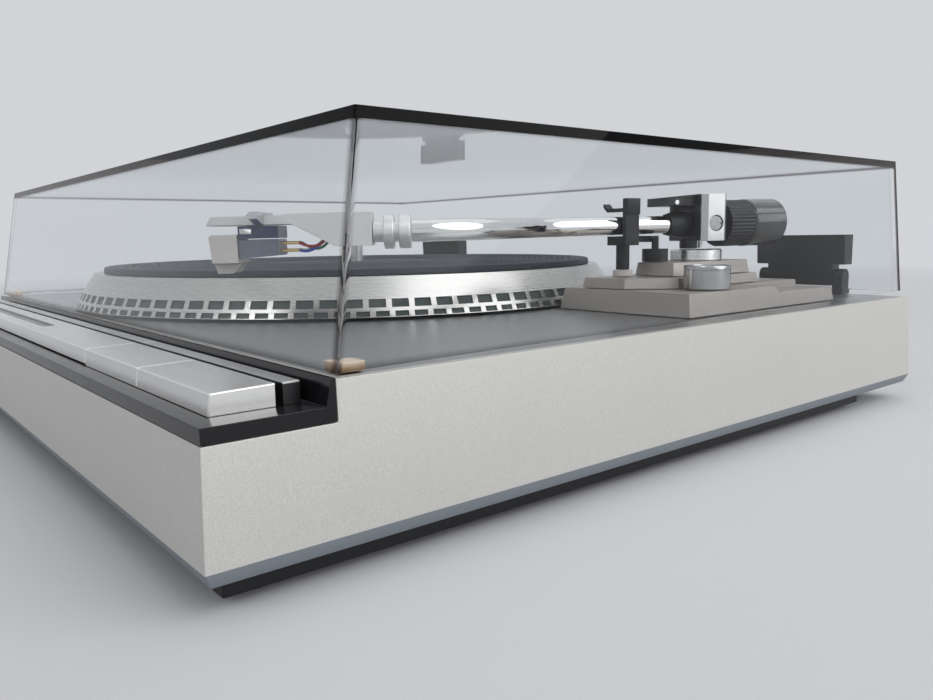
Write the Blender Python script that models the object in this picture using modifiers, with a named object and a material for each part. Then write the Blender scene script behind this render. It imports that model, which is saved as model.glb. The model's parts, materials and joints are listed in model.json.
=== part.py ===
"""A direct drive turntable with an S shaped arm and a clear lid, at its real size.

Metres, +Z up. X runs from the left end to the right end seen from the front, Y from the front to the
rear, and the origin lies under the middle of the plinth, on the surface that the feet stand on.
"""
import math

import bmesh
import bpy
from mathutils import Matrix, Vector

# Seats and cutters
SEAT_GAP = 0.0003
OVERRUN = 0.002
MERGE_DISTANCE = 0.00001
ROUND_STEPS = 40
SMALL_STEPS = 16
TINY_STEPS = 12
COLLAR_STEPS = 28
WEIGHT_STEPS = 36
BEND_STEPS = 8
TUBE_RESOLUTION = 6

# Sizes that the plinth is built round: the platter, the blocks under the arm and the controls
PLATTER_RADIUS = 0.1486
PLATTER_LEFT_ROOM = 0.0427
PLATTER_FRONT_ROOM = 0.0041
PLATTER_REAR_ROOM = 0.02905
PLATE_NEST = 0.0014
PLATE_MARGIN = 0.0188
PIVOT_INSET = 0.0340
STEP_RIGHT_REACH = 0.0179
KNOB_GAP = 0.0009
KNOB_RADIUS = 0.0095
PLATE_WIDTH = PIVOT_INSET + STEP_RIGHT_REACH + 2 * (KNOB_GAP + KNOB_RADIUS)
TRAY_FRONT_INSET = 0.00145
KEY_FRONT_INSET = 0.0056
KEY_DEPTH = 0.0173
REAR_BAR_GAP = 0.0017
REAR_BAR_DEPTH = 0.0047
REAR_BAR_ROOM = 0.0019
TRAY_WALL_FOOT = 0.0028
KEYS_DEPTH = KEY_FRONT_INSET + KEY_DEPTH + REAR_BAR_GAP + REAR_BAR_DEPTH + REAR_BAR_ROOM
LEDGE_DEPTH = TRAY_FRONT_INSET + KEYS_DEPTH + TRAY_WALL_FOOT + SEAT_GAP

# Base cover, and the transformer that stands on it
COVER_BOTTOM = 0.003
COVER_HEIGHT = 0.0049
COVER_FLOOR = 0.0025
INSIDE_FLOOR = COVER_BOTTOM + COVER_FLOOR + SEAT_GAP
TRANSFORMER_LENGTH = 0.060
TRANSFORMER_DEPTH = 0.046
TRANSFORMER_HEIGHT = 0.034
TRANSFORMER_HEADROOM = 0.0093

# Plinth
PLINTH_WIDTH = PLATTER_LEFT_ROOM + 2 * PLATTER_RADIUS - PLATE_NEST + PLATE_WIDTH + PLATE_MARGIN
PLINTH_DEPTH = LEDGE_DEPTH + PLATTER_FRONT_ROOM + 2 * PLATTER_RADIUS + PLATTER_REAR_ROOM
RIGHT_X = PLINTH_WIDTH / 2
REAR_Y = PLINTH_DEPTH / 2
PLINTH_BOTTOM = COVER_BOTTOM + COVER_HEIGHT + SEAT_GAP
DECK_THICKNESS = 0.0025
DECK_HEIGHT = INSIDE_FLOOR + TRANSFORMER_HEIGHT + TRANSFORMER_HEADROOM + DECK_THICKNESS
CHAMFER_WIDTH = 0.0018
CHAMFER_HEIGHT = 0.0041
SIDE_DRAFT_SHARE = 0.053
END_DRAFT_SHARE = 0.046
LEDGE_DROP = 0.0107
LEDGE_HEIGHT = DECK_HEIGHT - LEDGE_DROP
STEP_FACE_Y = LEDGE_DEPTH - REAR_Y
PLINTH_WALL = 0.012
LEDGE_SKIN = 0.003
RIM_WIDTH = 0.0026
REAR_FLOOR = 0.004
STEP_WALL = 0.0123

# Edges of the base cover, and the feet
COVER_INSET = 0.006
COVER_REAR_INSET = 0.04305
COVER_REAR_Y = REAR_Y - COVER_REAR_INSET
COVER_RIM = 0.014
FOOT_RADIUS = 0.018
FOOT_BEVEL = 0.001
FOOT_INSET_X = 0.045
FOOT_INSET_Y = 0.045

# Control tray and keys
TRAY_SIDE_INSET = 0.0015
TRAY_HALF_WIDTH = RIGHT_X - TRAY_SIDE_INSET
TRAY_FRONT_Y = TRAY_FRONT_INSET - REAR_Y
TRAY_REAR_Y = STEP_FACE_Y - SEAT_GAP
TRAY_RISE = 0.0042
TRAY_TOP = LEDGE_HEIGHT + TRAY_RISE
TRAY_WALL_RISE = 0.0069
TRAY_WALL_TOP = TRAY_TOP + TRAY_WALL_RISE
TRAY_WALL_TIP = 0.0012
KEY_END_INSET = 0.0091
START_KEY_WIDTH = 0.0521
STOP_KEY_WIDTH = 0.0538
KEY_END_X = TRAY_HALF_WIDTH - KEY_END_INSET
KEY_SPLIT_X = KEY_END_X - START_KEY_WIDTH
BAR_SPLIT_X = KEY_SPLIT_X - STOP_KEY_WIDTH
KEY_FRONT_Y = TRAY_FRONT_Y + KEY_FRONT_INSET
KEY_REAR_Y = KEY_FRONT_Y + KEY_DEPTH
KEY_SINK = 0.0004
KEY_HEIGHT = 0.0059
KEY_TOP_LEAN = 0.0004
KEY_BOTTOM = TRAY_TOP - KEY_SINK
KEY_FRONT_TOP = KEY_BOTTOM + KEY_HEIGHT
KEY_REAR_TOP = KEY_FRONT_TOP + KEY_TOP_LEAN
KEY_FRONT_LEAN = 0.0006
KEY_BEVEL = 0.0004
KEY_CLEARANCE = 0.0003
KEY_TRAVEL = 0.0020
POCKET_SPARE = 0.0005
STEM_WIDTH = 0.012
STEM_DEPTH = 0.005
STEM_REACH = 0.0025
REAR_BAR_FRONT_Y = KEY_REAR_Y + REAR_BAR_GAP
REAR_BAR_REAR_Y = REAR_BAR_FRONT_Y + REAR_BAR_DEPTH
REAR_BAR_RISE = 0.0058
REAR_BAR_TOP = TRAY_TOP + REAR_BAR_RISE
WINDOW_FRONT_INSET = 0.0061
WINDOW_WIDTH = 0.0052
WINDOW_RIGHT_INSET = 0.0885
WINDOW_LEFT_INSET = 0.0444
WINDOW_FRONT_Y = KEY_FRONT_Y + WINDOW_FRONT_INSET
WINDOW_REAR_Y = WINDOW_FRONT_Y + WINDOW_WIDTH
WINDOW_RIGHT_X = BAR_SPLIT_X - WINDOW_RIGHT_INSET
WINDOW_LEFT_X = WINDOW_LEFT_INSET - KEY_END_X
WINDOW_DEPTH = 0.0022
WINDOW_SINK = 0.0006

# Platter, mat and drive
SPINDLE_X = PLATTER_LEFT_ROOM + PLATTER_RADIUS - RIGHT_X
SPINDLE_Y = STEP_FACE_Y + PLATTER_FRONT_ROOM + PLATTER_RADIUS
PLATTER_LIFT = 0.0014
PLATTER_BOTTOM = DECK_HEIGHT + PLATTER_LIFT
STROBE_LOWER_COUNT = 115
STROBE_UPPER_COUNT = 96
STROBE_LOWER_SHARE = 0.71
STROBE_UPPER_SHARE = 0.75
STROBE_LOWER_HEIGHT = 0.0022
STROBE_UPPER_HEIGHT = 0.0034
STROBE_ROW_GAP = 0.0014
STROBE_MARGIN = 0.00025
STROBE_POCKET_DEPTH = 0.0006
STROBE_POCKET_DRAFT = 0.00012
STROBE_TOP = PLATTER_BOTTOM + 2 * STROBE_MARGIN + STROBE_LOWER_HEIGHT + STROBE_ROW_GAP + STROBE_UPPER_HEIGHT
STROBE_CONE_INSET = 0.0038
STROBE_TOP_RADIUS = PLATTER_RADIUS - STROBE_CONE_INSET
PLATTER_RIM_HEIGHT = 0.0088
PLATTER_TOP = STROBE_TOP + PLATTER_RIM_HEIGHT
PLATTER_RIM_INSET = 0.0059
PLATTER_TOP_RADIUS = STROBE_TOP_RADIUS - PLATTER_RIM_INSET
PLATTER_WALL = 0.004
PLATTER_TOP_SKIN = 0.004
HUB_RADIUS = 0.020
HUB_DROP = 0.0027
BODY_RING_COUNT = 96
HUB_RING_COUNT = 24
MAT_MARGIN = 0.0047
MAT_RADIUS = PLATTER_TOP_RADIUS - MAT_MARGIN
MAT_RISE = 0.0030
MAT_TOP = PLATTER_TOP + MAT_RISE
MAT_BEVEL = 0.0011
MAT_HOLE_RADIUS = 0.0042
MAT_STEPS = 64
SPINDLE_RADIUS = 0.0036
SPINDLE_RISE = 0.0135
SPINDLE_CHAMFER = 0.002
SPINDLE_CLEARANCE = 0.0003
BEARING_DEPTH = 0.0316
BEARING_BOTTOM = DECK_HEIGHT - BEARING_DEPTH
BEARING_RADIUS = 0.012
BEARING_FLOOR = 0.0025
BEARING_FLANGE_RADIUS = 0.024
BEARING_FLANGE_THICKNESS = 0.0025
BEARING_TOP_GAP = 0.0006
ROTOR_INNER_RADIUS = 0.028
ROTOR_OUTER_RADIUS = 0.062
ROTOR_THICKNESS = 0.004
ROTOR_BOTTOM = PLATTER_TOP - PLATTER_TOP_SKIN - SEAT_GAP - ROTOR_THICKNESS
STATOR_INNER_RADIUS = 0.026
STATOR_THICKNESS = 0.002
STATOR_TOP = DECK_HEIGHT + SEAT_GAP + STATOR_THICKNESS
COIL_COUNT = 8
COIL_CIRCLE_RADIUS = 0.045
COIL_RADIUS = 0.010
COIL_AIR_GAP = 0.0016
COIL_HEIGHT = ROTOR_BOTTOM - COIL_AIR_GAP - STATOR_TOP
COIL_STEPS = 12

# Blocks under the arm, in plan: the pivot stands in the plate, and the stylus passes the spindle
PLATE_RIGHT_X = RIGHT_X - PLATE_MARGIN
PLATE_LEFT_X = PLATE_RIGHT_X - PLATE_WIDTH
PIVOT_X = PLATE_LEFT_X + PIVOT_INSET
PIVOT_BEHIND_SPINDLE = 0.0736
PIVOT_Y = SPINDLE_Y + PIVOT_BEHIND_SPINDLE
STYLUS_OVERHANG = 0.015923
ARM_LENGTH = math.hypot(PIVOT_X - SPINDLE_X, PIVOT_Y - SPINDLE_Y) + STYLUS_OVERHANG
ARM_REST_DEG = 14.2
ARM_TILT_DEG = 0.6
HEADSHELL_OFFSET_DEG = 24.0
GIMBAL_TURN_DEG = 8.0
PLATE_CORNER_INSET = 0.0030
PLATE_FRONT_REACH = 0.0588
PLATE_CORNER_REACH = 0.0390
PLATE_REAR_REACH = 0.0573
PLATE_FRONT_LEFT_X = PLATE_LEFT_X + PLATE_CORNER_INSET
PLATE_FRONT_Y = PIVOT_Y - PLATE_FRONT_REACH
PLATE_CORNER_Y = PIVOT_Y - PLATE_CORNER_REACH
PLATE_REAR_Y = PIVOT_Y + PLATE_REAR_REACH
PLATE_DRAFT = 0.0016
PLATE_NOTCH_REACH = 0.0060
PLATE_NOTCH_Y = PIVOT_Y + PLATE_NOTCH_REACH
PLATE_NOTCH_RUN = 0.003
STEP_DRAFT = 0.0008
STEP_LEFT_REACH = 0.0210
STEP_CORNER_REACH = 0.0030
STEP_FRONT_REACH = 0.0550
STEP_DIAGONAL_REACH = 0.0372
STEP_REAR_REACH = 0.0250
STEP_LEFT_X = PIVOT_X - STEP_LEFT_REACH
STEP_CORNER_X = PIVOT_X + STEP_CORNER_REACH
STEP_RIGHT_X = PIVOT_X + STEP_RIGHT_REACH
STEP_FRONT_Y = PIVOT_Y - STEP_FRONT_REACH
STEP_DIAGONAL_END_Y = PIVOT_Y - STEP_DIAGONAL_REACH
STEP_REAR_Y = PIVOT_Y + STEP_REAR_REACH
RISER_DRAFT = 0.0009
RISER_LEFT_REACH = 0.0095
RISER_RIGHT_REACH = 0.0115
RISER_FRONT_REACH = 0.0325
RISER_FLARE_REACH = 0.0130
RISER_REAR_REACH = 0.0210
RISER_FLARE = 0.004
RISER_FRONT_LEFT_X = PIVOT_X - RISER_LEFT_REACH
RISER_FRONT_RIGHT_X = PIVOT_X + RISER_RIGHT_REACH
RISER_FRONT_Y = PIVOT_Y - RISER_FRONT_REACH
RISER_FLARE_Y = PIVOT_Y - RISER_FLARE_REACH
RISER_REAR_Y = PIVOT_Y + RISER_REAR_REACH
KNOB_REACH = 0.0327
KNOB_X = PLATE_RIGHT_X - KNOB_GAP - KNOB_RADIUS
KNOB_Y = PIVOT_Y - KNOB_REACH
KNOB_HEIGHT = 0.0100
KNOB_BEVEL = 0.0006
DISC_RADIUS = 0.0117
DISC_BEVEL = 0.0005
SHAFT_RADIUS = 0.0040
SHAFT_CLEARANCE = 0.0003

# Gimbal: places run from the pivot, forward along the arm, outward to the near side, and up
YOKE_BOTTOM = -0.0078
YOKE_TOP = 0.0131
YOKE_HALF_WIDTH = 0.0125
YOKE_LEG = 0.0032
YOKE_FLOOR = 0.0022
YOKE_ROOF = 0.0050
YOKE_FRONT = 0.0066
YOKE_REAR = -0.0064
ROOF_FRONT = 0.0205
ROOF_HALF_WIDTH = 0.0095
ROOF_SLOPE = 0.0012
SIDE_PLATE_WIDTH = 0.0128
SIDE_PLATE_THICKNESS = 0.0032
SIDE_PLATE_BEVEL = 0.0022
SCREW_RADIUS = 0.0033
SCREW_SINK = 0.0006
SCREW_RECESS = 0.0022
SCREW_SLOT_WIDTH = 0.0009
SCREW_SLOT_DEPTH = 0.0007
CORE_HALF_LENGTH = 0.0055
CORE_BOTTOM = -0.0050
CORE_TOP = 0.0066
CORE_SIDE_GAP = 0.0005
NECK_OFFSET = 0.0040
NECK_RADIUS = 0.0041
NECK_RISE = 0.0038
PIN_OFFSET = -0.0022
PIN_RADIUS = 0.0010

# Blocks under the arm, in height: each stands on the one below, and the arm's axis over them all
PLATE_RISE = 0.0097
PLATE_NOTCH_DROP = 0.0029
STEP_RISE = 0.0047
RISER_RISE = 0.0062
DISC_RISE = 0.0053
PLATE_TOP = DECK_HEIGHT + PLATE_RISE
PLATE_NOTCH_TOP = PLATE_TOP - PLATE_NOTCH_DROP
STEP_TOP = PLATE_TOP + STEP_RISE
RISER_TOP = STEP_TOP + RISER_RISE
DISC_TOP = RISER_TOP + DISC_RISE
ARM_AXIS_HEIGHT = DISC_TOP + NECK_RISE - YOKE_BOTTOM
SHAFT_DEPTH = 0.0066
SHAFT_BOTTOM = DECK_HEIGHT - SHAFT_DEPTH

# Arm tube, bell and rear end
TUBE_RADIUS = 0.0040
TUBE_BEND_RADIUS = 0.030
FIRST_BEND_FORWARD = 0.082
BULGE_TO_STYLUS = 0.0756
BULGE_FORWARD = ARM_LENGTH - BULGE_TO_STYLUS
TUBE_TO_COLLAR = 0.0645
BELL_REAR_RADIUS = 0.0060
BELL_START = 0.0074
CORE_NECK_RADIUS = 0.0048
BELL_FRONT_RADIUS = 0.0048
BELL_FRONT = 0.0180
BELL_SHOULDER = 0.0130
REAR_BELL_RADIUS = 0.0075
REAR_BELL_START = 0.0076
REAR_BELL_REACH = 0.0118
REAR_SHAFT_RADIUS = 0.0036
REAR_SHAFT_CLEARANCE = 0.0003
DIAL_LENGTH = 0.0144
DIAL_REACH = REAR_BELL_REACH + SEAT_GAP + DIAL_LENGTH
DIAL_RADIUS = 0.0109
DIAL_KNURLS = 40
DIAL_KNURL_DEPTH = 0.0004
WEIGHT_LENGTH = 0.0205
WEIGHT_REACH = DIAL_REACH + SEAT_GAP + WEIGHT_LENGTH
WEIGHT_RADIUS = 0.0112
WEIGHT_BEVEL = 0.0016

# Headshell and connector: places run from the stylus, forward along the headshell
SHELL_TIP = 0.0055
SHELL_TIP_SLANT = 0.0020
SHELL_PLATE_BOTTOM = 0.0032
SHELL_PLATE_TOP = 0.0064
SHELL_REAR_TOP = 0.0070
SHELL_RISE_FRONT = -0.0210
SHELL_RISE_REAR = -0.0227
SHELL_DIAGONAL_FRONT = -0.0242
SHELL_DIAGONAL_REAR = -0.0385
SHELL_SHANK_BOTTOM = -0.0047
SHELL_REAR = -0.0505
SHELL_HALF_WIDTH = 0.0085
SHELL_TIP_HALF_WIDTH = 0.0062
SHELL_SHANK_HALF_WIDTH = 0.0066
SHELL_CHANNEL_WALL = 0.0022
SHELL_SLOT_SPACING = 0.0127
SHELL_SLOT_WIDTH = 0.0026
SHELL_SLOT_LENGTH = 0.0110
CONNECTOR_RADIUS = 0.0037
COLLAR_RADIUS = 0.0062
COLLAR_FRONT = -0.0545
COLLAR_REAR = -0.0582
SOCKET_FRONT = -0.0599
SOCKET_REAR = -0.0641
COLLAR_BEVEL = 0.0004
LIFT_TAB_FRONT = -0.0121
LIFT_TAB_REAR = -0.0151
LIFT_TAB_REACH = 0.0100
LIFT_TAB_THICKNESS = 0.0024
LIFT_STRAP = 0.0008

# Cartridge
MOUNT_FRONT = -0.0056
MOUNT_REAR = -0.0194
MOUNT_BOTTOM = -0.0014
MOUNT_HALF_WIDTH = 0.0080
BODY_FRONT = -0.0055
BODY_REAR = -0.0192
BODY_TOP = -0.0017
BODY_FRONT_BOTTOM = -0.0083
BODY_REAR_BOTTOM = -0.0074
BODY_HALF_WIDTH = 0.0075
NOSE_FRONT = 0.0046
NOSE_TOP = 0.0001
NOSE_BOTTOM = -0.0098
NOSE_CHAMFER = 0.0008
NOSE_HALF_WIDTH = 0.0080
GUARD_FRONT = 0.0040
GUARD_REAR = -0.0052
GUARD_FOOT_FRONT = 0.0030
GUARD_FOOT_REAR = -0.0024
GUARD_BOTTOM = -0.0134
GUARD_HALF_WIDTH = 0.0046
GUARD_WALL = 0.0009
STYLUS_RADIUS = 0.00035
STYLUS_TIP = -0.0125
STYLUS_ROOT = -0.0040
MOUNT_SCREW_RADIUS = 0.0012
MOUNT_SCREW_RISE = 0.0004
TERMINAL_RADIUS = 0.0006
TERMINAL_REACH = 0.0063
TERMINAL_HALF_SPACING = 0.0026
TERMINAL_HEIGHTS = (-0.0032, -0.0058)
LEAD_RADIUS = 0.0004
LEAD_BLOCK_DEPTH = 0.0020
LEAD_END_HEIGHT = 0.0002
LEAD_SAG = 0.0012
LEAD_INNER_SHARE = 0.4
LEAD_LOW_SAG_SHARE = 1.6
LEAD_STEPS = 10

# Arm rest
REST_FORWARD = 0.0416
REST_DISC_RADIUS = 0.0044
REST_DISC_RISE = 0.0030
REST_DISC_TOP = STEP_TOP + REST_DISC_RISE
REST_POST_RADIUS = 0.0030
REST_CUP_DROP = 0.0091
REST_CUP_BOTTOM = ARM_AXIS_HEIGHT - REST_CUP_DROP
REST_CUP_HALF_LENGTH = 0.0036
REST_CUP_WALL = 0.0022
REST_TUBE_CLEARANCE = 0.0006
REST_INNER_DROP = 0.0051
REST_INNER_TOP = ARM_AXIS_HEIGHT - REST_INNER_DROP
REST_UPRIGHT_RISE = 0.0113
REST_UPRIGHT_TOP = ARM_AXIS_HEIGHT + REST_UPRIGHT_RISE
REST_ENTRY_SHARE = 0.3
LATCH_RISE = 0.0015
LATCH_THICKNESS = 0.0016
LATCH_OVERHANG = 0.0050
LATCH_LIP = 0.0030
LATCH_LIP_RISE = 0.0022
LATCH_HALF_LENGTH = 0.0018
LATCH_BARREL_RADIUS = 0.0013
LATCH_PIN_RADIUS = 0.0006
LATCH_PIN_OUT = 0.0057

# Arm lifter
LIFTER_RADIUS = 0.027
LIFTER_TURN_DEG = 6.0
LIFTER_BODY_RADIUS = 0.0058
LIFTER_BODY_DROP = 0.0109
LIFTER_BODY_TOP = ARM_AXIS_HEIGHT - LIFTER_BODY_DROP
LIFTER_PIN_RADIUS = 0.0016
LIFTER_BAR_HALF_WIDTH = 0.0022
LIFTER_BAR_DROP = 0.0051
LIFTER_BAR_THICKNESS = 0.0028
LIFTER_BAR_TOP = ARM_AXIS_HEIGHT - LIFTER_BAR_DROP
LIFTER_BAR_BOTTOM = LIFTER_BAR_TOP - LIFTER_BAR_THICKNESS
LIFTER_SWEEP_DEG = 52.0
LIFTER_STEPS = 12

# Lid and hinges
LID_SIDE_INSET = 0.0022
LID_SIDE_LEAN = 0.0041
LID_FRONT_OVERHANG = 0.0002
LID_FRONT_LEAN = 0.0111
LID_REAR_INSET = 0.01025
LID_REAR_LEAN = 0.0039
LID_FRONT_GAP = 0.0012
LID_REAR_GAP = 0.0033
LID_HEADROOM = 0.0286
LID_THICKNESS = 0.0028
LID_HALF_WIDTH = RIGHT_X - LID_SIDE_INSET
LID_TOP_HALF_WIDTH = LID_HALF_WIDTH - LID_SIDE_LEAN
LID_FRONT_Y = STEP_FACE_Y - LID_FRONT_OVERHANG
LID_TOP_FRONT_Y = LID_FRONT_Y + LID_FRONT_LEAN
LID_REAR_Y = REAR_Y - LID_REAR_INSET
LID_TOP_REAR_Y = LID_REAR_Y - LID_REAR_LEAN
LID_FRONT_BOTTOM = DECK_HEIGHT + LID_FRONT_GAP
LID_REAR_BOTTOM = DECK_HEIGHT + LID_REAR_GAP
LID_TOP = ARM_AXIS_HEIGHT + LID_HEADROOM
BUMPER_WIDTH = 0.0070
BUMPER_RISE = 0.0018
HINGE_AXIS_BEHIND = 0.0040
HINGE_AXIS_RISE = 0.0096
HINGE_AXIS_Y = LID_REAR_Y + HINGE_AXIS_BEHIND
HINGE_AXIS_Z = DECK_HEIGHT + HINGE_AXIS_RISE
HOLDER_INSET = 0.0538
HOLDER_WIDTH = 0.0492
HOLDER_DEPTH = 0.0080
HOLDER_REACH = 0.0215
HOLDER_DROP = 0.0052
HOLDER_CENTRE_X = LID_HALF_WIDTH - HOLDER_INSET
HOLDER_REAR_Y = LID_REAR_Y + HOLDER_DEPTH
HOLDER_TOP = HINGE_AXIS_Z + HOLDER_REACH
HOLDER_BOTTOM = HINGE_AXIS_Z - HOLDER_DROP
BARREL_RADIUS = 0.0040
BARREL_HALF_WIDTH = 0.0180
EAR_THICKNESS = 0.0055
HINGE_PIN_RADIUS = 0.0020
HINGE_CLEARANCE = 0.0003

# Inside the plinth and at its rear
TRANSFORMER_SIDE_INSET = 0.065
TRANSFORMER_REAR_INSET = 0.09805
TRANSFORMER_X = TRANSFORMER_SIDE_INSET - RIGHT_X
TRANSFORMER_Y = REAR_Y - TRANSFORMER_REAR_INSET
TRANSFORMER_COIL_LENGTH = 0.040
TRANSFORMER_COIL_DEPTH = 0.058
TRANSFORMER_COIL_HEIGHT = 0.022
BOARD_SPINDLE_X = 0.0837
BOARD_SPINDLE_Y = 0.0546
BOARD_X = SPINDLE_X + BOARD_SPINDLE_X
BOARD_Y = SPINDLE_Y + BOARD_SPINDLE_Y
BOARD_LENGTH = 0.120
BOARD_DEPTH = 0.070
BOARD_THICKNESS = 0.0016
BOARD_STANDOFF = 0.0082
BOARD_HEIGHT = INSIDE_FLOOR + BOARD_STANDOFF
BOARD_POST_RADIUS = 0.003
BOARD_POST_INSET = 0.006
REAR_POCKET_DEPTH = 0.00855
REAR_POCKET_FLOOR_Y = REAR_Y - REAR_POCKET_DEPTH
REAR_FITTINGS_RISE = 0.0198
REAR_FITTINGS_Z = PLINTH_BOTTOM + REAR_FITTINGS_RISE
REAR_FITTINGS_INSET = 0.095
SOCKET_PAIR_X = REAR_FITTINGS_INSET - RIGHT_X
SOCKET_SPACING = 0.014
SOCKET_RADIUS = 0.0041
SOCKET_FLANGE_RADIUS = 0.0055
SOCKET_TIP_INSET = 0.00205
SOCKET_LENGTH = 0.0210
SOCKET_TIP_Y = REAR_Y - SOCKET_TIP_INSET
SOCKET_INSIDE_Y = SOCKET_TIP_Y - SOCKET_LENGTH
EARTH_SPACING = 0.025
EARTH_X = SOCKET_PAIR_X + EARTH_SPACING
EARTH_RADIUS = 0.0030
EARTH_HEAD_RADIUS = 0.0042
GLAND_X = RIGHT_X - REAR_FITTINGS_INSET
GLAND_RADIUS = 0.0058
GLAND_FLANGE_RADIUS = 0.0080
GLAND_BORE_RADIUS = 0.0036
FITTING_FLANGE = 0.0016
POCKET_MARGIN = 0.006
POCKET_HALF_HEIGHT = 0.013


def clear_scene():
    """Remove every object, so that the script can be run again."""
    for found in list(bpy.data.objects):
        bpy.data.objects.remove(found, do_unlink=True)
    for found in list(bpy.data.collections):
        bpy.data.collections.remove(found)


def new_collection(name):
    made = bpy.data.collections.new(name)
    bpy.context.scene.collection.children.link(made)
    return made


def new_material(name, colour, roughness, metallic=0.0, transmission=0.0):
    made = bpy.data.materials.new(name)
    made.use_nodes = True
    shader = made.node_tree.nodes["Principled BSDF"]
    shader.inputs["Base Color"].default_value = (*colour, 1.0)
    shader.inputs["Roughness"].default_value = roughness
    shader.inputs["Metallic"].default_value = metallic
    shader.inputs["Transmission Weight"].default_value = transmission
    return made


def finish_mesh(bm, name, smooth=False):
    """Close the bmesh into a mesh with its faces pointing out."""
    bmesh.ops.recalc_face_normals(bm, faces=bm.faces)
    mesh = bpy.data.meshes.new(name)
    bm.to_mesh(mesh)
    bm.free()
    if smooth:
        mesh.shade_smooth()
        mesh.set_sharp_from_angle(angle=math.radians(35))
    return mesh


def add_object(collection, name, mesh, material=None, parent=None, place=(0, 0, 0), turn=(0, 0, 0)):
    made = bpy.data.objects.new(name, mesh)
    made.parent = parent
    made.location = place
    made.rotation_euler = turn
    if material:
        mesh.materials.append(material)
    collection.objects.link(made)
    return made


def add_cutter(cutters, name, mesh, parent=None, place=(0, 0, 0), turn=(0, 0, 0)):
    made = add_object(cutters, name, mesh, None, parent, place, turn)
    made.hide_render = True
    made.display_type = "WIRE"
    return made


def boolean(target, tool, operation="DIFFERENCE"):
    step = target.modifiers.new(tool.name, "BOOLEAN")
    step.operation = operation
    step.object = tool
    step.solver = "EXACT"
    return step


def bevel(target, width, segments=2, angle_deg=40.0):
    step = target.modifiers.new("edges", "BEVEL")
    step.width = width
    step.segments = segments
    step.limit_method = "ANGLE"
    step.angle_limit = math.radians(angle_deg)
    return step


def add_box(bm, low, high):
    """Add a box between two corners to a bmesh."""
    low, high = Vector(low), Vector(high)
    size = high - low
    place = Matrix.Translation((low + high) / 2) @ Matrix.Diagonal((*size, 1.0))
    return bmesh.ops.create_cube(bm, size=1.0, matrix=place)["verts"]


def box_mesh(name, low, high):
    bm = bmesh.new()
    add_box(bm, low, high)
    return finish_mesh(bm, name)


def boxes_mesh(name, corners):
    """Several boxes that lie clear of each other, in one mesh."""
    bm = bmesh.new()
    for low, high in corners:
        add_box(bm, low, high)
    return finish_mesh(bm, name)


def add_cylinder(bm, centre, radius, low, high, steps=SMALL_STEPS, axis="Z"):
    """Add a cylinder along an axis to a bmesh; low and high are its ends on that axis."""
    turns = {
        "X": Matrix.Rotation(math.radians(90), 4, "Y"),
        "Y": Matrix.Rotation(math.radians(-90), 4, "X"),
        "Z": Matrix.Identity(4),
    }
    middle = (low + high) / 2
    places = {
        "X": Vector((middle, centre[0], centre[1])),
        "Y": Vector((centre[0], middle, centre[1])),
        "Z": Vector((centre[0], centre[1], middle)),
    }
    place = Matrix.Translation(places[axis]) @ turns[axis]
    bmesh.ops.create_cone(
        bm, cap_ends=True, segments=steps, radius1=radius, radius2=radius, depth=high - low, matrix=place
    )


def cylinders_mesh(name, items, steps=SMALL_STEPS, axis="Z"):
    """Cylinders that lie clear of each other, in one mesh: each is a centre, a radius and two ends."""
    bm = bmesh.new()
    for centre, radius, low, high in items:
        add_cylinder(bm, centre, radius, low, high, steps, axis)
    return finish_mesh(bm, name, smooth=True)


def turned_mesh(name, profile, closed):
    """Edges of a turned profile in the XZ plane, top to bottom down the outer side."""
    bm = bmesh.new()
    verts = [bm.verts.new((radius, 0, height)) for radius, height in profile]
    for first, second in zip(verts, verts[1:]):
        bm.edges.new((first, second))
    if closed:
        bm.edges.new((verts[-1], verts[0]))
    mesh = bpy.data.meshes.new(name)
    bm.to_mesh(mesh)
    bm.free()
    return mesh


def turn_profile(target, steps=ROUND_STEPS):
    step = target.modifiers.new("turn", "SCREW")
    step.steps = steps
    step.render_steps = steps
    step.use_merge_vertices = True
    step.merge_threshold = MERGE_DISTANCE
    step.use_smooth_shade = True
    return step


def add_turned(
    collection, name, profile, material, parent=None, place=(0, 0, 0), turn=(0, 0, 0), closed=False,
    steps=ROUND_STEPS,
):
    made = add_object(collection, name, turned_mesh(name, profile, closed), material, parent, place, turn)
    turn_profile(made, steps)
    return made


def inset_outline(outline, distance):
    """The outline moved inward by a distance, its corners mitred; it runs anticlockwise."""
    spots = [Vector(spot) for spot in outline]
    inner = []
    for before, here, after in zip([spots[-1]] + spots, spots, spots[1:] + [spots[0]]):
        into, out = (here - before).normalized(), (after - here).normalized()
        left = Vector((-into.y - out.y, into.x + out.x)).normalized()
        half_cos = left.dot(Vector((-into.y, into.x)))
        inner.append(here + left * distance / half_cos)
    return inner


def tapered_prism(name, outline, low, high, draft):
    """A flat outline raised between two heights, its sides leaning in by the draft."""
    bm = bmesh.new()
    face = bm.faces.new([bm.verts.new((x, y, low)) for x, y in outline])
    grown = bmesh.ops.extrude_face_region(bm, geom=[face])
    moved = [item for item in grown["geom"] if isinstance(item, bmesh.types.BMVert)]
    tops = {tuple(round(number, 6) for number in spot): inner
            for spot, inner in zip(outline, inset_outline(outline, draft))}
    for vert in moved:
        inner = tops[(round(vert.co.x, 6), round(vert.co.y, 6))]
        vert.co = (inner.x, inner.y, high)
    return finish_mesh(bm, name)


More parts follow.
